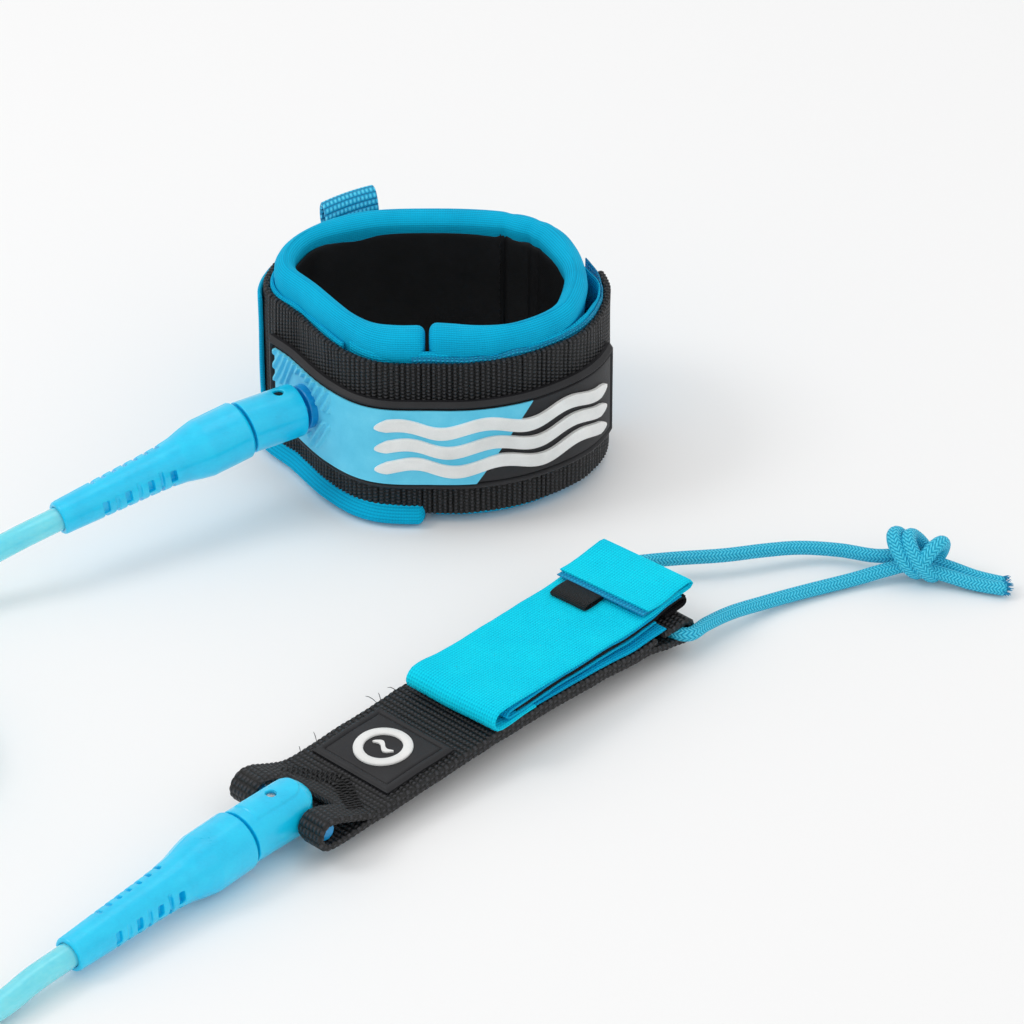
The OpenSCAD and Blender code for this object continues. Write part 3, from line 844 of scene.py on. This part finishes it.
def cuff_place(offset, rise=None, tall=None):
    def place(s, z):
        p, n = ring(s)
        o = offset + (rise(s, z) if rise else 0)
        if tall:
            z = z + tall(s, z)
        return Vector((CUFF.x + p.x + n.x * o, CUFF.y + p.y + n.y * o, z)), Vector((n.x, n.y, 0))
    return place


def pad_section(n_side=16, n_round=11):
    """Pad outline in (offset, height), from the inner bottom up, over, down and under."""
    out = []
    r = 3.7
    for k in range(n_side):
        out.append((-PAD_T + 0.9, 5 + 50 * k / (n_side - 1)))
    for k in range(1, n_round):
        a = math.pi * k / n_round
        out.append((-PAD_T / 2 - (PAD_T / 2 - 0.1) * math.cos(a), PAD_H - r + r * math.sin(a)))
    for k in range(n_side):
        out.append((0, 55 - 50 * k / (n_side - 1)))
    for k in range(1, n_round):
        a = math.pi * k / n_round
        out.append((-PAD_T / 2 + (PAD_T / 2 - 0.1) * math.cos(a), r - r * math.sin(a)))
    return out


def pad_warp(s, o, z):
    """Puffed rims, a wavy top and the bulge under the webbing at the front left."""
    mid = -PAD_T / 2
    top, bottom = bump(z, 56, 4.5), bump(z, 4, 4)
    side = 1 if o > mid else -1
    slim = smooth((s - 56) / 8) * smooth((92 - s) / 8)
    o += side * (1.0 * top + 0.7 * bottom) * (1 - 0.6 * slim)
    if side < 0:
        o += 1.8 * slim + 2.4 * smooth((s - 3) / 8) * smooth((36 - s) / 8)
    share = smooth((z - 38) / 18)
    o += share * 0.8 * wobble(s, 0, 1, 7)
    z += share * (0.9 * wobble(s, 4, 2, 9) + 0.8 * smooth((7 - s) / 7)) if s < 48 else share * 0.9 * wobble(s, 4, 2, 9)
    # puckers at the lining's seam and crease
    for at, deep, wide in ((41.5, 1.0, 0.55), (38.6, 0.8, 0.5), (36.8, 0.35, 0.4)):
        o += -side * deep * bump(s, at, wide) * smooth((z - 50) / 6) * (0.15 if side > 0 else 1)
        z -= 0.3 * deep * bump(s, at, wide) * smooth((z - 54) / 4)
    # lower edge
    o += 6.8 * smooth((8 - z) / 6) * smooth((s - 62) / 10) * (1 if side > 0 else 0.35)
    if s < 30 and side > 0:
        o += 1.5 * smooth((5 - z) / 4)
    return o, max(z, 0.0)


def build_pad():
    outline = pad_section()
    first, last = -0.12, SAMPLES - 0.55
    inset = [0.0, 0.03, 0.09, 0.2, 0.36, 0.6, 0.9]
    middle_part = [first + 0.9 + k * (last - first - 1.8) / 250 for k in range(1, 250)]
    stations = [first + x for x in inset] + middle_part + [last - x for x in inset[::-1]]
    verts = []
    for s in stations:
        end = min(s - first, last - s) * 2.75
        pinch = 2.4 * (1 - math.sqrt(max(0.0, 1 - (1 - min(1.0, end / 2.4)) ** 2)))
        p, n = ring(s)
        for o, z in outline:
            o, z = pad_warp(s % SAMPLES if s >= 0 else 0, o, z)
            mid = -PAD_T / 2
            o = mid + (o - mid) * max(0.12, 1 - pinch / (PAD_T / 2))
            z = PAD_H / 2 + (z - PAD_H / 2) * (1 - pinch / 34)
            o += pocket(s)
            verts.append(Vector((CUFF.x + p.x + n.x * o, CUFF.y + p.y + n.y * o, z)))
    m = len(outline)
    girth = [0.0]
    for k in range(m):
        a, b = outline[k], outline[(k + 1) % m]
        girth.append(girth[-1] + math.hypot(a[0] - b[0], a[1] - b[1]))
    faces, uvs = [], []
    for i in range(len(stations) - 1):
        u0, u1 = ring_mm(stations[i]), ring_mm(stations[i + 1])
        for k in range(m):
            l = (k + 1) % m
            faces.append((i * m + k, (i + 1) * m + k, (i + 1) * m + l, i * m + l))
            uvs += [(u0, girth[k]), (u1, girth[k]), (u1, girth[k + 1]), (u0, girth[k + 1])]
    tail = (len(stations) - 1) * m
    for start, u in ((0, ring_mm(stations[0])), (tail, ring_mm(stations[-1]))):
        faces.append(tuple(range(start, start + m)))
        uvs += [(u, girth[k]) for k in range(m)]
    pad = make("pad_neoprene", verts, faces, "neoprene", "cuff", ("cuff_pad",), "neoprene", uvs, 70)


build_pad()


def lining_rise(s, z):
    puff = 0.45 * math.sin(math.pi * (z - 4) / 52) ** 0.5 if 4 < z < 56 else 0
    seam = 0.75 * bump(s, 41.5, 0.16) + 0.55 * bump(s, 38.6, 0.3) + 0.3 * bump(s, 36.8, 0.35)
    slim = 1.8 * smooth((s - 56) / 8) * smooth((92 - s) / 8) + 2.4 * smooth((s - 3) / 8) * smooth((36 - s) / 8)
    return -puff + seam + slim + 0.35 * wobble(s, z / 6, 5, 5) + pocket(s)


cloth("lining_sheet", span(0.6, 94.6, 0.33), span(4.4, 54.8, 2.2, 0.5), cuff_place(-PAD_T + 0.45, lining_rise),
      "lining", 0.8, ruler=ring_mm, body="cuff", nodes=("cuff_lining",), slot="lining")
seam_stitches = []
for k in range(21):
    z = 7 + k * 2.35
    a, inward = cuff_place(-PAD_T - 0.25, lining_rise)(41.9, z)
    b, _ = cuff_place(-PAD_T - 0.25, lining_rise)(41.9, z + 1.7)
    seam_stitches.append(bead(a, b, 0.2, outward=-inward))
join_meshes("lining_seam", seam_stitches, "thread", body="cuff", slot="lining")


def tape_top(seed, amount):
    return lambda s, z: amount * smooth((z - 40) / 12) * wobble(s, 0, seed, 2.6)


def loop_rise(s, z):
    """The loop tape leaves the pad for the webbing at the pocket and comes back to it behind."""
    return pocket(s) * smooth((s - 121) / 9) + 0.25 * wobble(s, z / 9, 3, 3)


cloth("pad_loop_tape", span(86, 132, 0.3, 0.1), span(2.4, 54.6, 2.6, 0.4),
      cuff_place(0.4, loop_rise, tape_top(8, 1.0)), "edge", 0.6, ruler=ring_mm,
      body="cuff", nodes=("cuff_loop_tape",), slot="loop_tape")
cloth("webbing_hook_tape", span(94, 129, 0.3, 0.1), span(3, 53.4, 2.6, 0.4),
      cuff_place(1.05, lambda s, z: 0.3 * wobble(s, z / 9, 4, 3), tape_top(9, 0.9)), "hook", 0.6,
      ruler=ring_mm, body="cuff", nodes=("cuff_hook_tape",), slot="hook_tape")
cloth("joining_tape", span(48, 85, 0.35, 0.1), span(2.6, 52.9, 2.6, 0.4),
      cuff_place(0.7, None, tape_top(10, 0.5)), "edge", 1.2, ruler=ring_mm,
      body="cuff", nodes=("cuff_backing_tape",), slot="loop_tape")


def web_rise(s, z):
    curl = 0.5 * bump(z, 3, 3) * wobble(s, 0, 12, 8) + 0.6 * bump(z, 52, 4) * wobble(s, 0, 13, 8)
    return curl + 0.15 * wobble(s, z / 8, 14, 2)


def web_tall(s, z):
    edge = 1 if z > 27 else -1
    scallop = 0.25 * edge * abs(math.sin(math.pi * ring_mm(s) / 1.45))
    return (0.35 * wobble(s, edge, 15, 5) + scallop) * smooth((abs(z - 27.5) - 14) / 10)


def web_thick(s, z):
    rib = 0.34 * abs(math.sin(math.pi * ring_mm(s) / 1.45)) ** 0.8
    return -0.9, 0.75 + rib


cloth("cuff_strap_webbing", span(46, 127, 0.13, 0.08), span(3, 52, 2.0, 0.35),
      cuff_place(2.4, web_rise, web_tall), "webbing", web_thick, ruler=ring_mm, body="cuff",
      nodes=("cuff_webbing",), slot="webbing")

# rubber patch with a bevelled rim and a groove, its inlay and the raised waves
PATCH_LOW, PATCH_HIGH = 12.0, 41.0
PATCH_FROM, PATCH_TO = 74.0, 119.0


def patch_thick(s, z):
    inset = min(z - PATCH_LOW, PATCH_HIGH - z, (s - PATCH_FROM) * 2.75, (PATCH_TO - s) * 2.75)
    top = 2.2 - 0.9 * (1 - smooth(inset / 0.9)) + 0.3 * bump(inset, 1.3, 0.5) - 0.75 * bump(inset, 2.15, 0.32)
    return 0.0, top


patch_z = [12, 12.2, 12.5, 12.9, 13.3, 13.7, 13.95, 14.15, 14.35, 14.6, 15.2, 17, 20, 23, 26.5]
patch_z = patch_z + [53 - z for z in patch_z[-2::-1]]
patch_edge = [0, 0.08, 0.18, 0.33, 0.48, 0.62, 0.7, 0.78, 0.86, 0.96, 1.2]
patch_s = [PATCH_FROM + x for x in patch_edge] + span(75.5, 117.5, 0.4) + [PATCH_TO - x for x in patch_edge[::-1]]
cloth("cuff_rubber_patch", patch_s, patch_z, cuff_place(3.35), "rubber", patch_thick,
      ruler=ring_mm, rounding=0.9, body="cuff", nodes=("cuff_patch",), slot="patch_rubber")

BOSS_S, BOSS_Z = 80.6, cuff_pin.z


def split(z):
    """The inlay's slanting end."""
    return 101.2 + 6.0 * (z - 14.3) / 24.4


def rib_height(s, z):
    x, y = ring_mm(s) - ring_mm(BOSS_S), z - BOSS_Z
    r = math.hypot(x, y)
    upper = smooth((r - 8.3) / 0.5) * smooth((y - 1.5 - 0.12 * x) / 0.8) * smooth((13.5 - x) / 0.8)
    lower = smooth((r - 8.3) / 0.5) * smooth((13.4 - r) / 0.6) * smooth((x - 2.5) / 0.8) * smooth((-0.5 - y) / 0.8)
    rib = smooth(0.5 + 3.2 * (abs((x * 0.86 - y * 0.5) / 2.3 % 1 - 0.5) - 0.25))
    return rib * max(upper, lower)


def inlay_place(a, z):
    s = 75.3 + (split(z) - 75.3) * a
    return cuff_place(5.5)(s, z)


def inlay_thick(a, z):
    s = 75.3 + (split(z) - 75.3) * a
    return 0.0, 0.5 + 0.95 * rib_height(s, z)


inlay_a = [k / 300 * 0.42 for k in range(301)] + [0.42 + 0.58 * k / 60 for k in range(1, 61)]
cloth("patch_cyan_inlay", inlay_a, span(14.3, 38.7, 0.3), inlay_place, "inlay", inlay_thick,
      ruler=lambda a: a * 80, rounding=0.8, body="cuff", nodes=("cuff_patch_inlay",), slot="patch_inlay")


def wave_place(z0, phase):
    def place(s, v):
        far = ring_mm(s)
        ends = min(s - 90.5, 116.3 - s) * 2.75
        half = 2.0 * math.sqrt(max(0.02, min(1.0, ends / 3.0)))
        z = z0 + 1.35 * math.sin(2 * math.pi * far / 23 + phase) + v * half
        return cuff_place(5.55)(s, z)
    return place


for k, z0 in enumerate((20.2, 26.5, 32.8)):
    wave = cloth(f"cuff_wave_{k + 1}", span(90.5, 116.3, 0.22, 0.05), [-1, -0.9, -0.5, 0, 0.5, 0.9, 1],
                 wave_place(z0, 0.5 * k), "white", lambda s, v: (0.0, 1.15), ruler=ring_mm, rounding=0.8,
                 body="cuff", slot="emblem")
    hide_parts("cuff_emblem")

# closure strap and pull tab
cloth("closure_strap", span(50, 71.9, 0.3, 0.08), span(5, 50, 2.2, 0.4),
      cuff_place(4.4, lambda s, z: 0.25 * wobble(s, z / 7, 21, 3), lambda s, z: 0.3 * wobble(s, z, 22, 3)), "edge",
      1.2, ruler=ring_mm, body="cuff_closure", nodes=("cuff_strap",), slot="loop_tape")

tab_base, tab_out = ring(55.4)
tab_base = Vector((CUFF.x + tab_base.x, CUFF.y + tab_base.y, 0))
tab_out = Vector((tab_out.x, tab_out.y, 0))
tab_side = Vector((-tab_out.y, tab_out.x, 0))
tab_points = [Vector((o, 0, z)) for o, z in (
    (5.6, 31), (5.8, 39), (6.2, 46), (7.0, 51), (8.0, 54.8), (9.6, 57.4), (11.8, 58.0), (13.3, 56.6), (13.5, 53.8),
    (12.4, 50), (10.8, 45), (9.2, 40), (8.4, 36))]
tab_look, tab_length = along_path(smooth_route(tab_points, 5))


def tab_place(u, v):
    p, t = tab_look(u)
    normal = tab_out * -t.z + UP * t.x
    bow = -0.004 * v * v
    drop = (0.006 * v * v + 0.19 * v) * smooth((p.z - 42) / 12)
    return tab_base + tab_out * (p.x + bow) + UP * (p.z - drop) + tab_side * v, normal


cloth("pull_tab_loop", span(0, tab_length, 0.7, 0.2), span(-8, 8, 1.0, 0.3), tab_place, "tab_webbing", 1.5,
      body="cuff_closure", nodes=("pull_tab",), slot="webbing")

# ---------------------------------------------------------------- moulded swivels


def parting(origin, along, turn):
    """A fine moulded line along the horn."""
    side = along.cross(UP).normalized()
    over = side.cross(along).normalized()
    ridge = side * math.cos(turn) + over * math.sin(turn)

    def shape(p):
        d = p - origin
        x = d.dot(along)
        radial = d - along * x
        if radial.length < 4.4:
            return p
        out = radial.normalized()
        off = (out - ridge * out.dot(ridge)).length * radial.length
        if out.dot(ridge) > 0 and off < 0.8 and 2 < x < HORN_L - 1:
            return p + out * 0.13 * bump(off, 0, 0.3)
        return p
    return shape


moulded("cuff_horn", "cuff_sleeve", "plastic", "cuff_horn",
        shape=parting(cuff_mouth, cuff_along, 1.05))
moulded("rail_horn", "rail_sleeve", "plastic", "rail_horn",
        shape=parting(rail_mouth, rail_along, 1.05))
moulded("cuff_collar", "cuff_swivel_collar", "plastic", "leash", 0.2, 5)
moulded("cuff_boss", "cuff_swivel_boss", "boss", "cuff", 0.2, 5)

rail_out = level(RAIL_TURN)
rail_side = level(RAIL_TURN + math.pi / 2)
cap_from, cap_to, cap_half = -20.5, -5.2, 4.3


def stadium(p):
    """Raised outline on the rail collar's top."""
    d = p - rail_mouth
    x, y = d.dot(rail_out), d.dot(rail_side)
    if d.z < 3.5:
        return p
    nearest = min(max(x, cap_from + cap_half), cap_to)
    away = math.hypot(x - nearest, y) if x < cap_to else abs(y)
    inside = smooth((cap_half + 0.15 - away) / 0.5) * smooth((cap_to + 3 - x) / 0.6)
    return p + UP * 0.4 * inside


moulded("rail_collar", "rail_swivel_collar", "plastic", "leash", 0.2, 6, shape=stadium)
for node, material, slot in (("cuff_pin", "dark_steel", "dark_steel"), ("rail_pin", "steel", "steel"),
                             ("cuff_swivel_stud", "steel", "steel"), ("rail_swivel_stud", "steel", "steel"),
                             ("swivel_washers", "steel", "steel"), ("cross_bar", "boss", "boss_plastic")):
    body = frame["nodes"][node]["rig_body"]
    moulded(node, node + "_part", material, body, 0.16, 3)

# ---------------------------------------------------------------- rail saver
BASE_LINE = [(6, 5.2), (20, 5.2), (40, 6.2), (60, 7.2), (80, 7.4), (100, 7), (118, 6), (SAVER_L, 4.4)]
WEB = 3.6
EYE_Z = 7.0
EYE_R = 3.9
LUG_Z = bar.z


def line_z(x):
    for (x0, z0), (x1, z1) in zip(BASE_LINE, BASE_LINE[1:]):
        if x <= x1 or x1 == SAVER_L:
            t = (x - x0) / (x1 - x0)
            return z0 + (z1 - z0) * smooth(t)
    return BASE_LINE[-1][1]


def top_z(x):
    flat = line_z(x) + WEB
    climb = min(1.0, max(0.0, (x - SAVER_L + 22) / 18))
    return max(flat, flat + (EYE_Z + EYE_R + 0.3 - flat) * climb)


def saver(x, y, z):
    return saver_origin + saver_dir * x + saver_side * y + UP * z


SKEW = math.radians(3.5)
SKEW_AT = 100


def flap(x, y, z):
    dx = x - SKEW_AT
    return saver(SKEW_AT + dx * math.cos(SKEW) - y * math.sin(SKEW), dx * math.sin(SKEW) + y * math.cos(SKEW), z)


FLAT = {}               # width and length of each strap before it was folded


def strip(name, points, half, material, thickness, where=saver, step=1.4, edge_seed=0, ragged=0.2, keep=None,
          sag=None, across=1.6, middle_y=0.0, **kw):
    """Strap that follows (x, z) points in the rail saver's side view."""
    line = smooth_route([Vector((x, 0, z)) for x, z in points], 5)
    look, length = along_path(line)

    def place(u, v):
        p, t = look(u)
        y = v * (1 + (ragged / half) * wobble(u, 1 if v > 0 else -1, edge_seed, 6)) + middle_y
        extra = sag(p.x, y) if sag else 0.0
        base = where(p.x, y, p.z + extra)
        direction = where(p.x + t.x, y, p.z + extra + t.z) - base
        sideways = where(p.x, y + 1, p.z + extra) - base
        return base, direction.cross(sideways).normalized()

    FLAT[name] = (2 * half, length)
    us = span(0, length, step, 0.25)
    vs = span(-half, half, across, 0.35)
    return cloth(name, us, vs, place, material, thickness, keep=(lambda u, v: keep(look(u)[0], v)) if keep else None,
                 **kw)


# webbing: one belt round the bar and the string, open between its lugs
web_points = [(124, top_z(124) - 0.95)]
web_points += [(x, line_z(x) + WEB - 0.95) for x in range(116, 14, -8)]
web_points += [(14.6, 8.05), (10.5, 9.5), (6.5, 11.2), (3.2, 12.6)]
for degrees in range(90, 271, 20):
    a = math.radians(degrees)
    web_points.append((3.75 * math.cos(a), LUG_Z + 3.75 * math.sin(a)))
web_points += [(3.4, 5.5), (7.5, 5.75), (12, 6.0)]
web_points += [(x, line_z(x) + 0.95) for x in range(18, 130, 8)]
for degrees in range(-80, 91, 20):
    a = math.radians(degrees)
    web_points.append((SAVER_L - 1 + 2.95 * math.cos(a), EYE_Z + 2.95 * math.sin(a)))
web_points += [(131, EYE_Z + 2.8), (127, top_z(124) - 0.6)]


def web_keep(p, v):
    return not (p.x < 8.8 and abs(v) < 8.5)


def belt_thick(u, v):
    rib = 0.28 * abs(math.sin(math.pi * u / 1.8)) ** 0.8
    return -0.8 - rib, 0.8 + rib


strip("rail_webbing_belt", web_points, 17, "rail_webbing", belt_thick, keep=web_keep, step=0.45,
      edge_seed=31, ragged=0.25, across=1.7, body="rail_saver", nodes=("rail_webbing",), slot="webbing")

# bar tacks: a raised V of zigzag stitches on the webbing
tacks = []
for side in (-1, 1):
    for row in range(3):
        for k in range(11):
            t = k / 10
            x = 10.2 + 6.6 * t + row * 1.9
            y = side * (12.5 - 11.5 * t)
            z = max(line_z(x) + WEB, 14.4 - 0.375 * x) + 0.12
            tacks.append(bead(saver(x - 1, y - 0.5 * side, z), saver(x + 1, y + 0.5 * side, z), 0.27, lift=0.22))
join_meshes("bar_tack_stitches", tacks, "thread", body="rail_saver", nodes=("rail_bartacks",), slot="webbing")

# square patch with its groove, and a plain ring on it
P_FROM, P_LONG, P_WIDE = 23.0, 25.0, 28.0


def rail_patch_place(x, y):
    slope = (top_z(x + 0.5) - top_z(x - 0.5))
    return saver(x, y, top_z(x)), (UP - saver_dir * slope).normalized()


def rail_patch_thick(x, y):
    inset = min(x - P_FROM, P_FROM + P_LONG - x, P_WIDE / 2 - abs(y))
    return 0.0, 1.4 - 0.7 * (1 - smooth(inset / 0.8)) + 0.15 * bump(inset, 1.4, 0.5) - 0.5 * bump(inset, 2.3, 0.28)


fine_edge = [0, 0.2, 0.45, 0.8, 1.2, 1.6, 1.9, 2.1, 2.3, 2.5, 2.75, 3.2]


def framed(a, b, step):
    return [a + e for e in fine_edge] + span(a + 4.4, b - 4.4, step) + [b - e for e in fine_edge[::-1]]


cloth("rail_rubber_patch", framed(P_FROM, P_FROM + P_LONG, 1.5), framed(-P_WIDE / 2, P_WIDE / 2, 1.5),
      rail_patch_place, "rubber", rail_patch_thick, rounding=0.9, body="rail_saver", nodes=("rail_patch",),
      slot="patch_rubber")
ring_mid = P_FROM + P_LONG / 2


def ring_place(a, r):
    x, y = ring_mid + r * math.cos(a), r * math.sin(a)
    p, n = rail_patch_place(x, y)
    return p + n * 1.3, n


def emblem_ring(name, r0, r1):
    count, profile = 72, [(r0, 0.0), (r0, 0.5), (r0 + 0.18, 0.72), ((r0 + r1) / 2, 0.78), (r1 - 0.18, 0.72), (r1, 0.5),
                          (r1, 0.0)]
    verts, faces = [], []
    for k in range(count):
        a = 2 * math.pi * k / count
        for r, h in profile:
            p, n = ring_place(a, r)
            verts.append(p + n * h)
    m = len(profile)
    for k in range(count):
        j = (k + 1) % count
        for q in range(m):
            w = (q + 1) % m
            faces.append((k * m + q, j * m + q, j * m + w, k * m + w))
    return make(name, verts, faces, "white", "rail_saver", ("rail_emblem",), "emblem", angle=50)


emblem_ring("rail_ring", 5.3, 8.0)


def small_wave(u, v):
    x, y = ring_mid + 0.9 * math.sin(u * 0.95), u
    p, n = rail_patch_place(x + v * math.sqrt(max(0.03, 1 - (u / 3.6) ** 4)), y)
    return p + n * 1.25, n


wave = cloth("rail_wave", span(-3.6, 3.6, 0.3), [-0.75, -0.6, 0, 0.6, 0.75], small_wave, "white",
             lambda u, v: (0.0, 0.7), rounding=0.8, body="rail_saver", slot="emblem")
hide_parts("rail_emblem")


# ---------------------------------------------------------------- hook-and-loop flap
def flap_sag(x, y):
    corner = bump(x, 58, 9) * 0.9 * smooth(y / 16)
    return 0.35 * wobble(x, y / 2, 41, 22) + 0.02 * max(0, abs(y) - 10) * wobble(x, 0, 42, 12) + corner


def over(x, height):
    return x, top_z(x) + height


def run(a, b, height, step=6):
    n = max(2, round(abs(b - a) / step))
    return [over(a + (b - a) * k / n, height) for k in range(n + 1)]


def fold(x, low_h, high_h, bulge, going_up=True):
    """Half turn of a strap at x, from one height to the other, bulging to -x."""
    mid, r = (low_h + high_h) / 2, (high_h - low_h) / 2
    angles = range(-70, 71, 20)
    out = []
    for d in angles:
        a = math.radians(d)
        out.append((x - bulge * math.cos(a), top_z(x) + mid + r * math.sin(a)))
    return out if going_up else out[::-1]


strip("webbing_loop_tape", run(61, SAVER_L - 8, 0.5), 16.3, "edge", 0.7, edge_seed=44, body="rail_saver",
      nodes=("rail_loop_tape",), slot="loop_tape")
inner_points = run(126, 67, 2.35) + fold(66, 2.35, 4.55, 2.4) + run(67, 137, 4.55)
strip("flap_inner_tape", inner_points, 15.2, "edge", 0.75, where=flap, sag=flap_sag, edge_seed=45, body="flap",
      nodes=("flap_inner",), slot="loop_tape")
strip("flap_black_layer", run(68, 139, 3.45), 15.0, "black_loop", 1.2, where=flap, sag=flap_sag, edge_seed=46,
      body="flap", nodes=("flap_backing",), slot="webbing")
outer_points = run(75, 64, 1.1, 3) + fold(62, 1.1, 7.0, 3.9) + [over(65, 7.0), over(70, 6.6), over(76, 6.15)]
outer_points += run(82, 139.6, 5.85)
strip("flap_outer_tape", outer_points, 15.6, "loop", 1.0, where=flap, sag=flap_sag, edge_seed=47, body="flap",
      nodes=("flap_outer",), slot="loop_tape", across=1.3)


def return_lift(x):
    return 1.0 * smooth((129 - x) / 8) + 0.6 * bump(x, 139, 5)


return_points = [(x, z + return_lift(x)) for x, z in run(122, 139, 7.5, 4)]
return_fold = []
for d in range(80, -81, -20):
    a = math.radians(d)
    return_fold.append((139.4 + 1.9 * math.cos(a), top_z(139.4) + 6.95 + 1.1 * math.sin(a)))
return_points += return_fold + [(136, top_z(136) + 5.9)]
returned = strip("flap_return_tape", return_points, 15.7, "loop", 0.95, where=flap, sag=flap_sag, edge_seed=48,
                 across=1.3, slot="loop_tape")
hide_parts("flap_return")
strip("flap_return_hooks", [(x, z + return_lift(x)) for x, z in run(120.2, 137, 6.85, 4)], 15.3, "hook", 0.5,
      where=flap, sag=flap_sag, edge_seed=49, across=1.3, body="flap_return", slot="hook_tape")
fold_low = flap(128, 0, top_z(139.4) + 6.35)
fold_high = flap(127.95, 0, top_z(139.4) + 7.25)
fold_low * MM
fold_high * MM
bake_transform(returned)

# black end of the flap, sewn to the webbing over the string's eye
hinge_points = [(129, top_z(129) + 3.4), (134, top_z(134) + 3.4), (138.4, top_z(136) + 3.0), (139.8, top_z(136) + 1.5),
                (139.0, top_z(136) + 0.3), (136, top_z(136) + 0.1), (131, top_z(131) + 0.35)]
hinge = strip("flap_black_end", hinge_points, 14.6, "black_loop", 1.0, where=flap, edge_seed=50, slot="webbing",
              step=0.8)
flap(137, 0, top_z(136) + 0.6) * MM
flap(137, 0, top_z(136) + 3.0) * MM
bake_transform(hinge)

# folded side tag
tag_points = [(121, top_z(121) + 6.5), (117, top_z(117) + 6.5), (114.2, top_z(114) + 6.7), (113.0, top_z(113) + 7.3),
              (114.2, top_z(114) + 8.0), (117, top_z(117) + 8.0), (121, top_z(121) + 7.5)]
strip("side_tag_loop", tag_points, 6.2, "tag", 0.55, where=flap, sag=flap_sag, edge_seed=51, ragged=0.05,
      middle_y=5.5, step=0.6, across=1.0, body="flap", nodes=("side_tag",), slot="tag")

# loose threads at the webbing's edges
hairs = []
for x, y, reach in ((27, 17, 4), (50, 17.2, 6), (51, 17, 3), (57, 16.8, 4), (21, 17.1, 3), (18, -17, 2.5)):
    start = saver(x, y - 0.6 * (1 if y > 0 else -1), top_z(x) - 0.8)
    turn = 1 if y > 0 else -1
    end = start + saver_side * (reach * 0.8 * turn) + saver_dir * rng.uniform(-2, 2) + UP * rng.uniform(0.2, 1.6)
    hairs.append(bead(start, end, 0.11, sides=5, lift=rng.uniform(0.4, 1.0)))
join_meshes("loose_threads", hairs, "thread", body="rail_saver", slot="webbing")

# ---------------------------------------------------------------- sheets
SHEETS = [("cuff_strap_webbing", (49, ring_mm(127) - ring_mm(46)), "stretched"),
          ("lining_sheet", (50.4, ring_mm(94.6) - ring_mm(0.6)), "stretched"),
          ("pad_loop_tape", (52.2, ring_mm(132) - ring_mm(86)), "laid"),
          ("webbing_hook_tape", (50.4, ring_mm(129) - ring_mm(94)), "laid"),
          ("joining_tape", (50.3, ring_mm(85) - ring_mm(48)), "laid"),
          ("closure_strap", (45, ring_mm(71.9) - ring_mm(50)), "stretched"),
          ("pull_tab_loop", (16, tab_length), "folded")]
SHEETS += [(name, size, "folded") for name, size in FLAT.items()]
for piece, (wide, long), held in SHEETS:
    wide * MM
    long * MM

# ---------------------------------------------------------------- floor and light
floor_mesh = bpy.data.meshes.new("floor")
floor_mesh.from_pydata([(-3, -3, -0.0003), (3, -3, -0.0003), (3, 3, -0.0003), (-3, 3, -0.0003)], [], [(0, 1, 2, 3)])
floor = bpy.data.objects.new("floor", floor_mesh)
SCENE.collection.objects.link(floor)
paper = bpy.data.materials.new("floor_paper")
paper.use_nodes = True
paper.node_tree.nodes["Principled BSDF"].inputs["Base Color"].default_value = (0.96, 0.96, 0.96, 1)
paper.node_tree.nodes["Principled BSDF"].inputs["Roughness"].default_value = 0.75
paper.node_tree.nodes["Principled BSDF"].inputs["Specular IOR Level"].default_value = 0.15
floor_mesh.materials.append(paper)

world = bpy.data.worlds.new("studio")
world.use_nodes = True
world.node_tree.nodes["Background"].inputs[0].default_value = (1, 1, 1, 1)
world.node_tree.nodes["Background"].inputs[1].default_value = 0.82
SCENE.world = world


def lamp(name, at, aim, size, power):
    data = bpy.data.lights.new(name, "AREA")
    data.shape = "SQUARE"
    data.size = size
    data.energy = power
    light = bpy.data.objects.new(name, data)
    light.location = at
    light.rotation_euler = (Vector(aim) - Vector(at)).to_track_quat("-Z", "Y").to_euler()
    SCENE.collection.objects.link(light)


lamp("key", (-1.0, -0.1, 1.1), (0, 0, 0), 0.5, 3.6)
lamp("fill", (0.9, -0.9, 1.1), (0, 0, 0), 1.1, 1)
lamp("top", (0.1, 0.4, 1.6), (0, 0, 0), 0.8, 1.5)
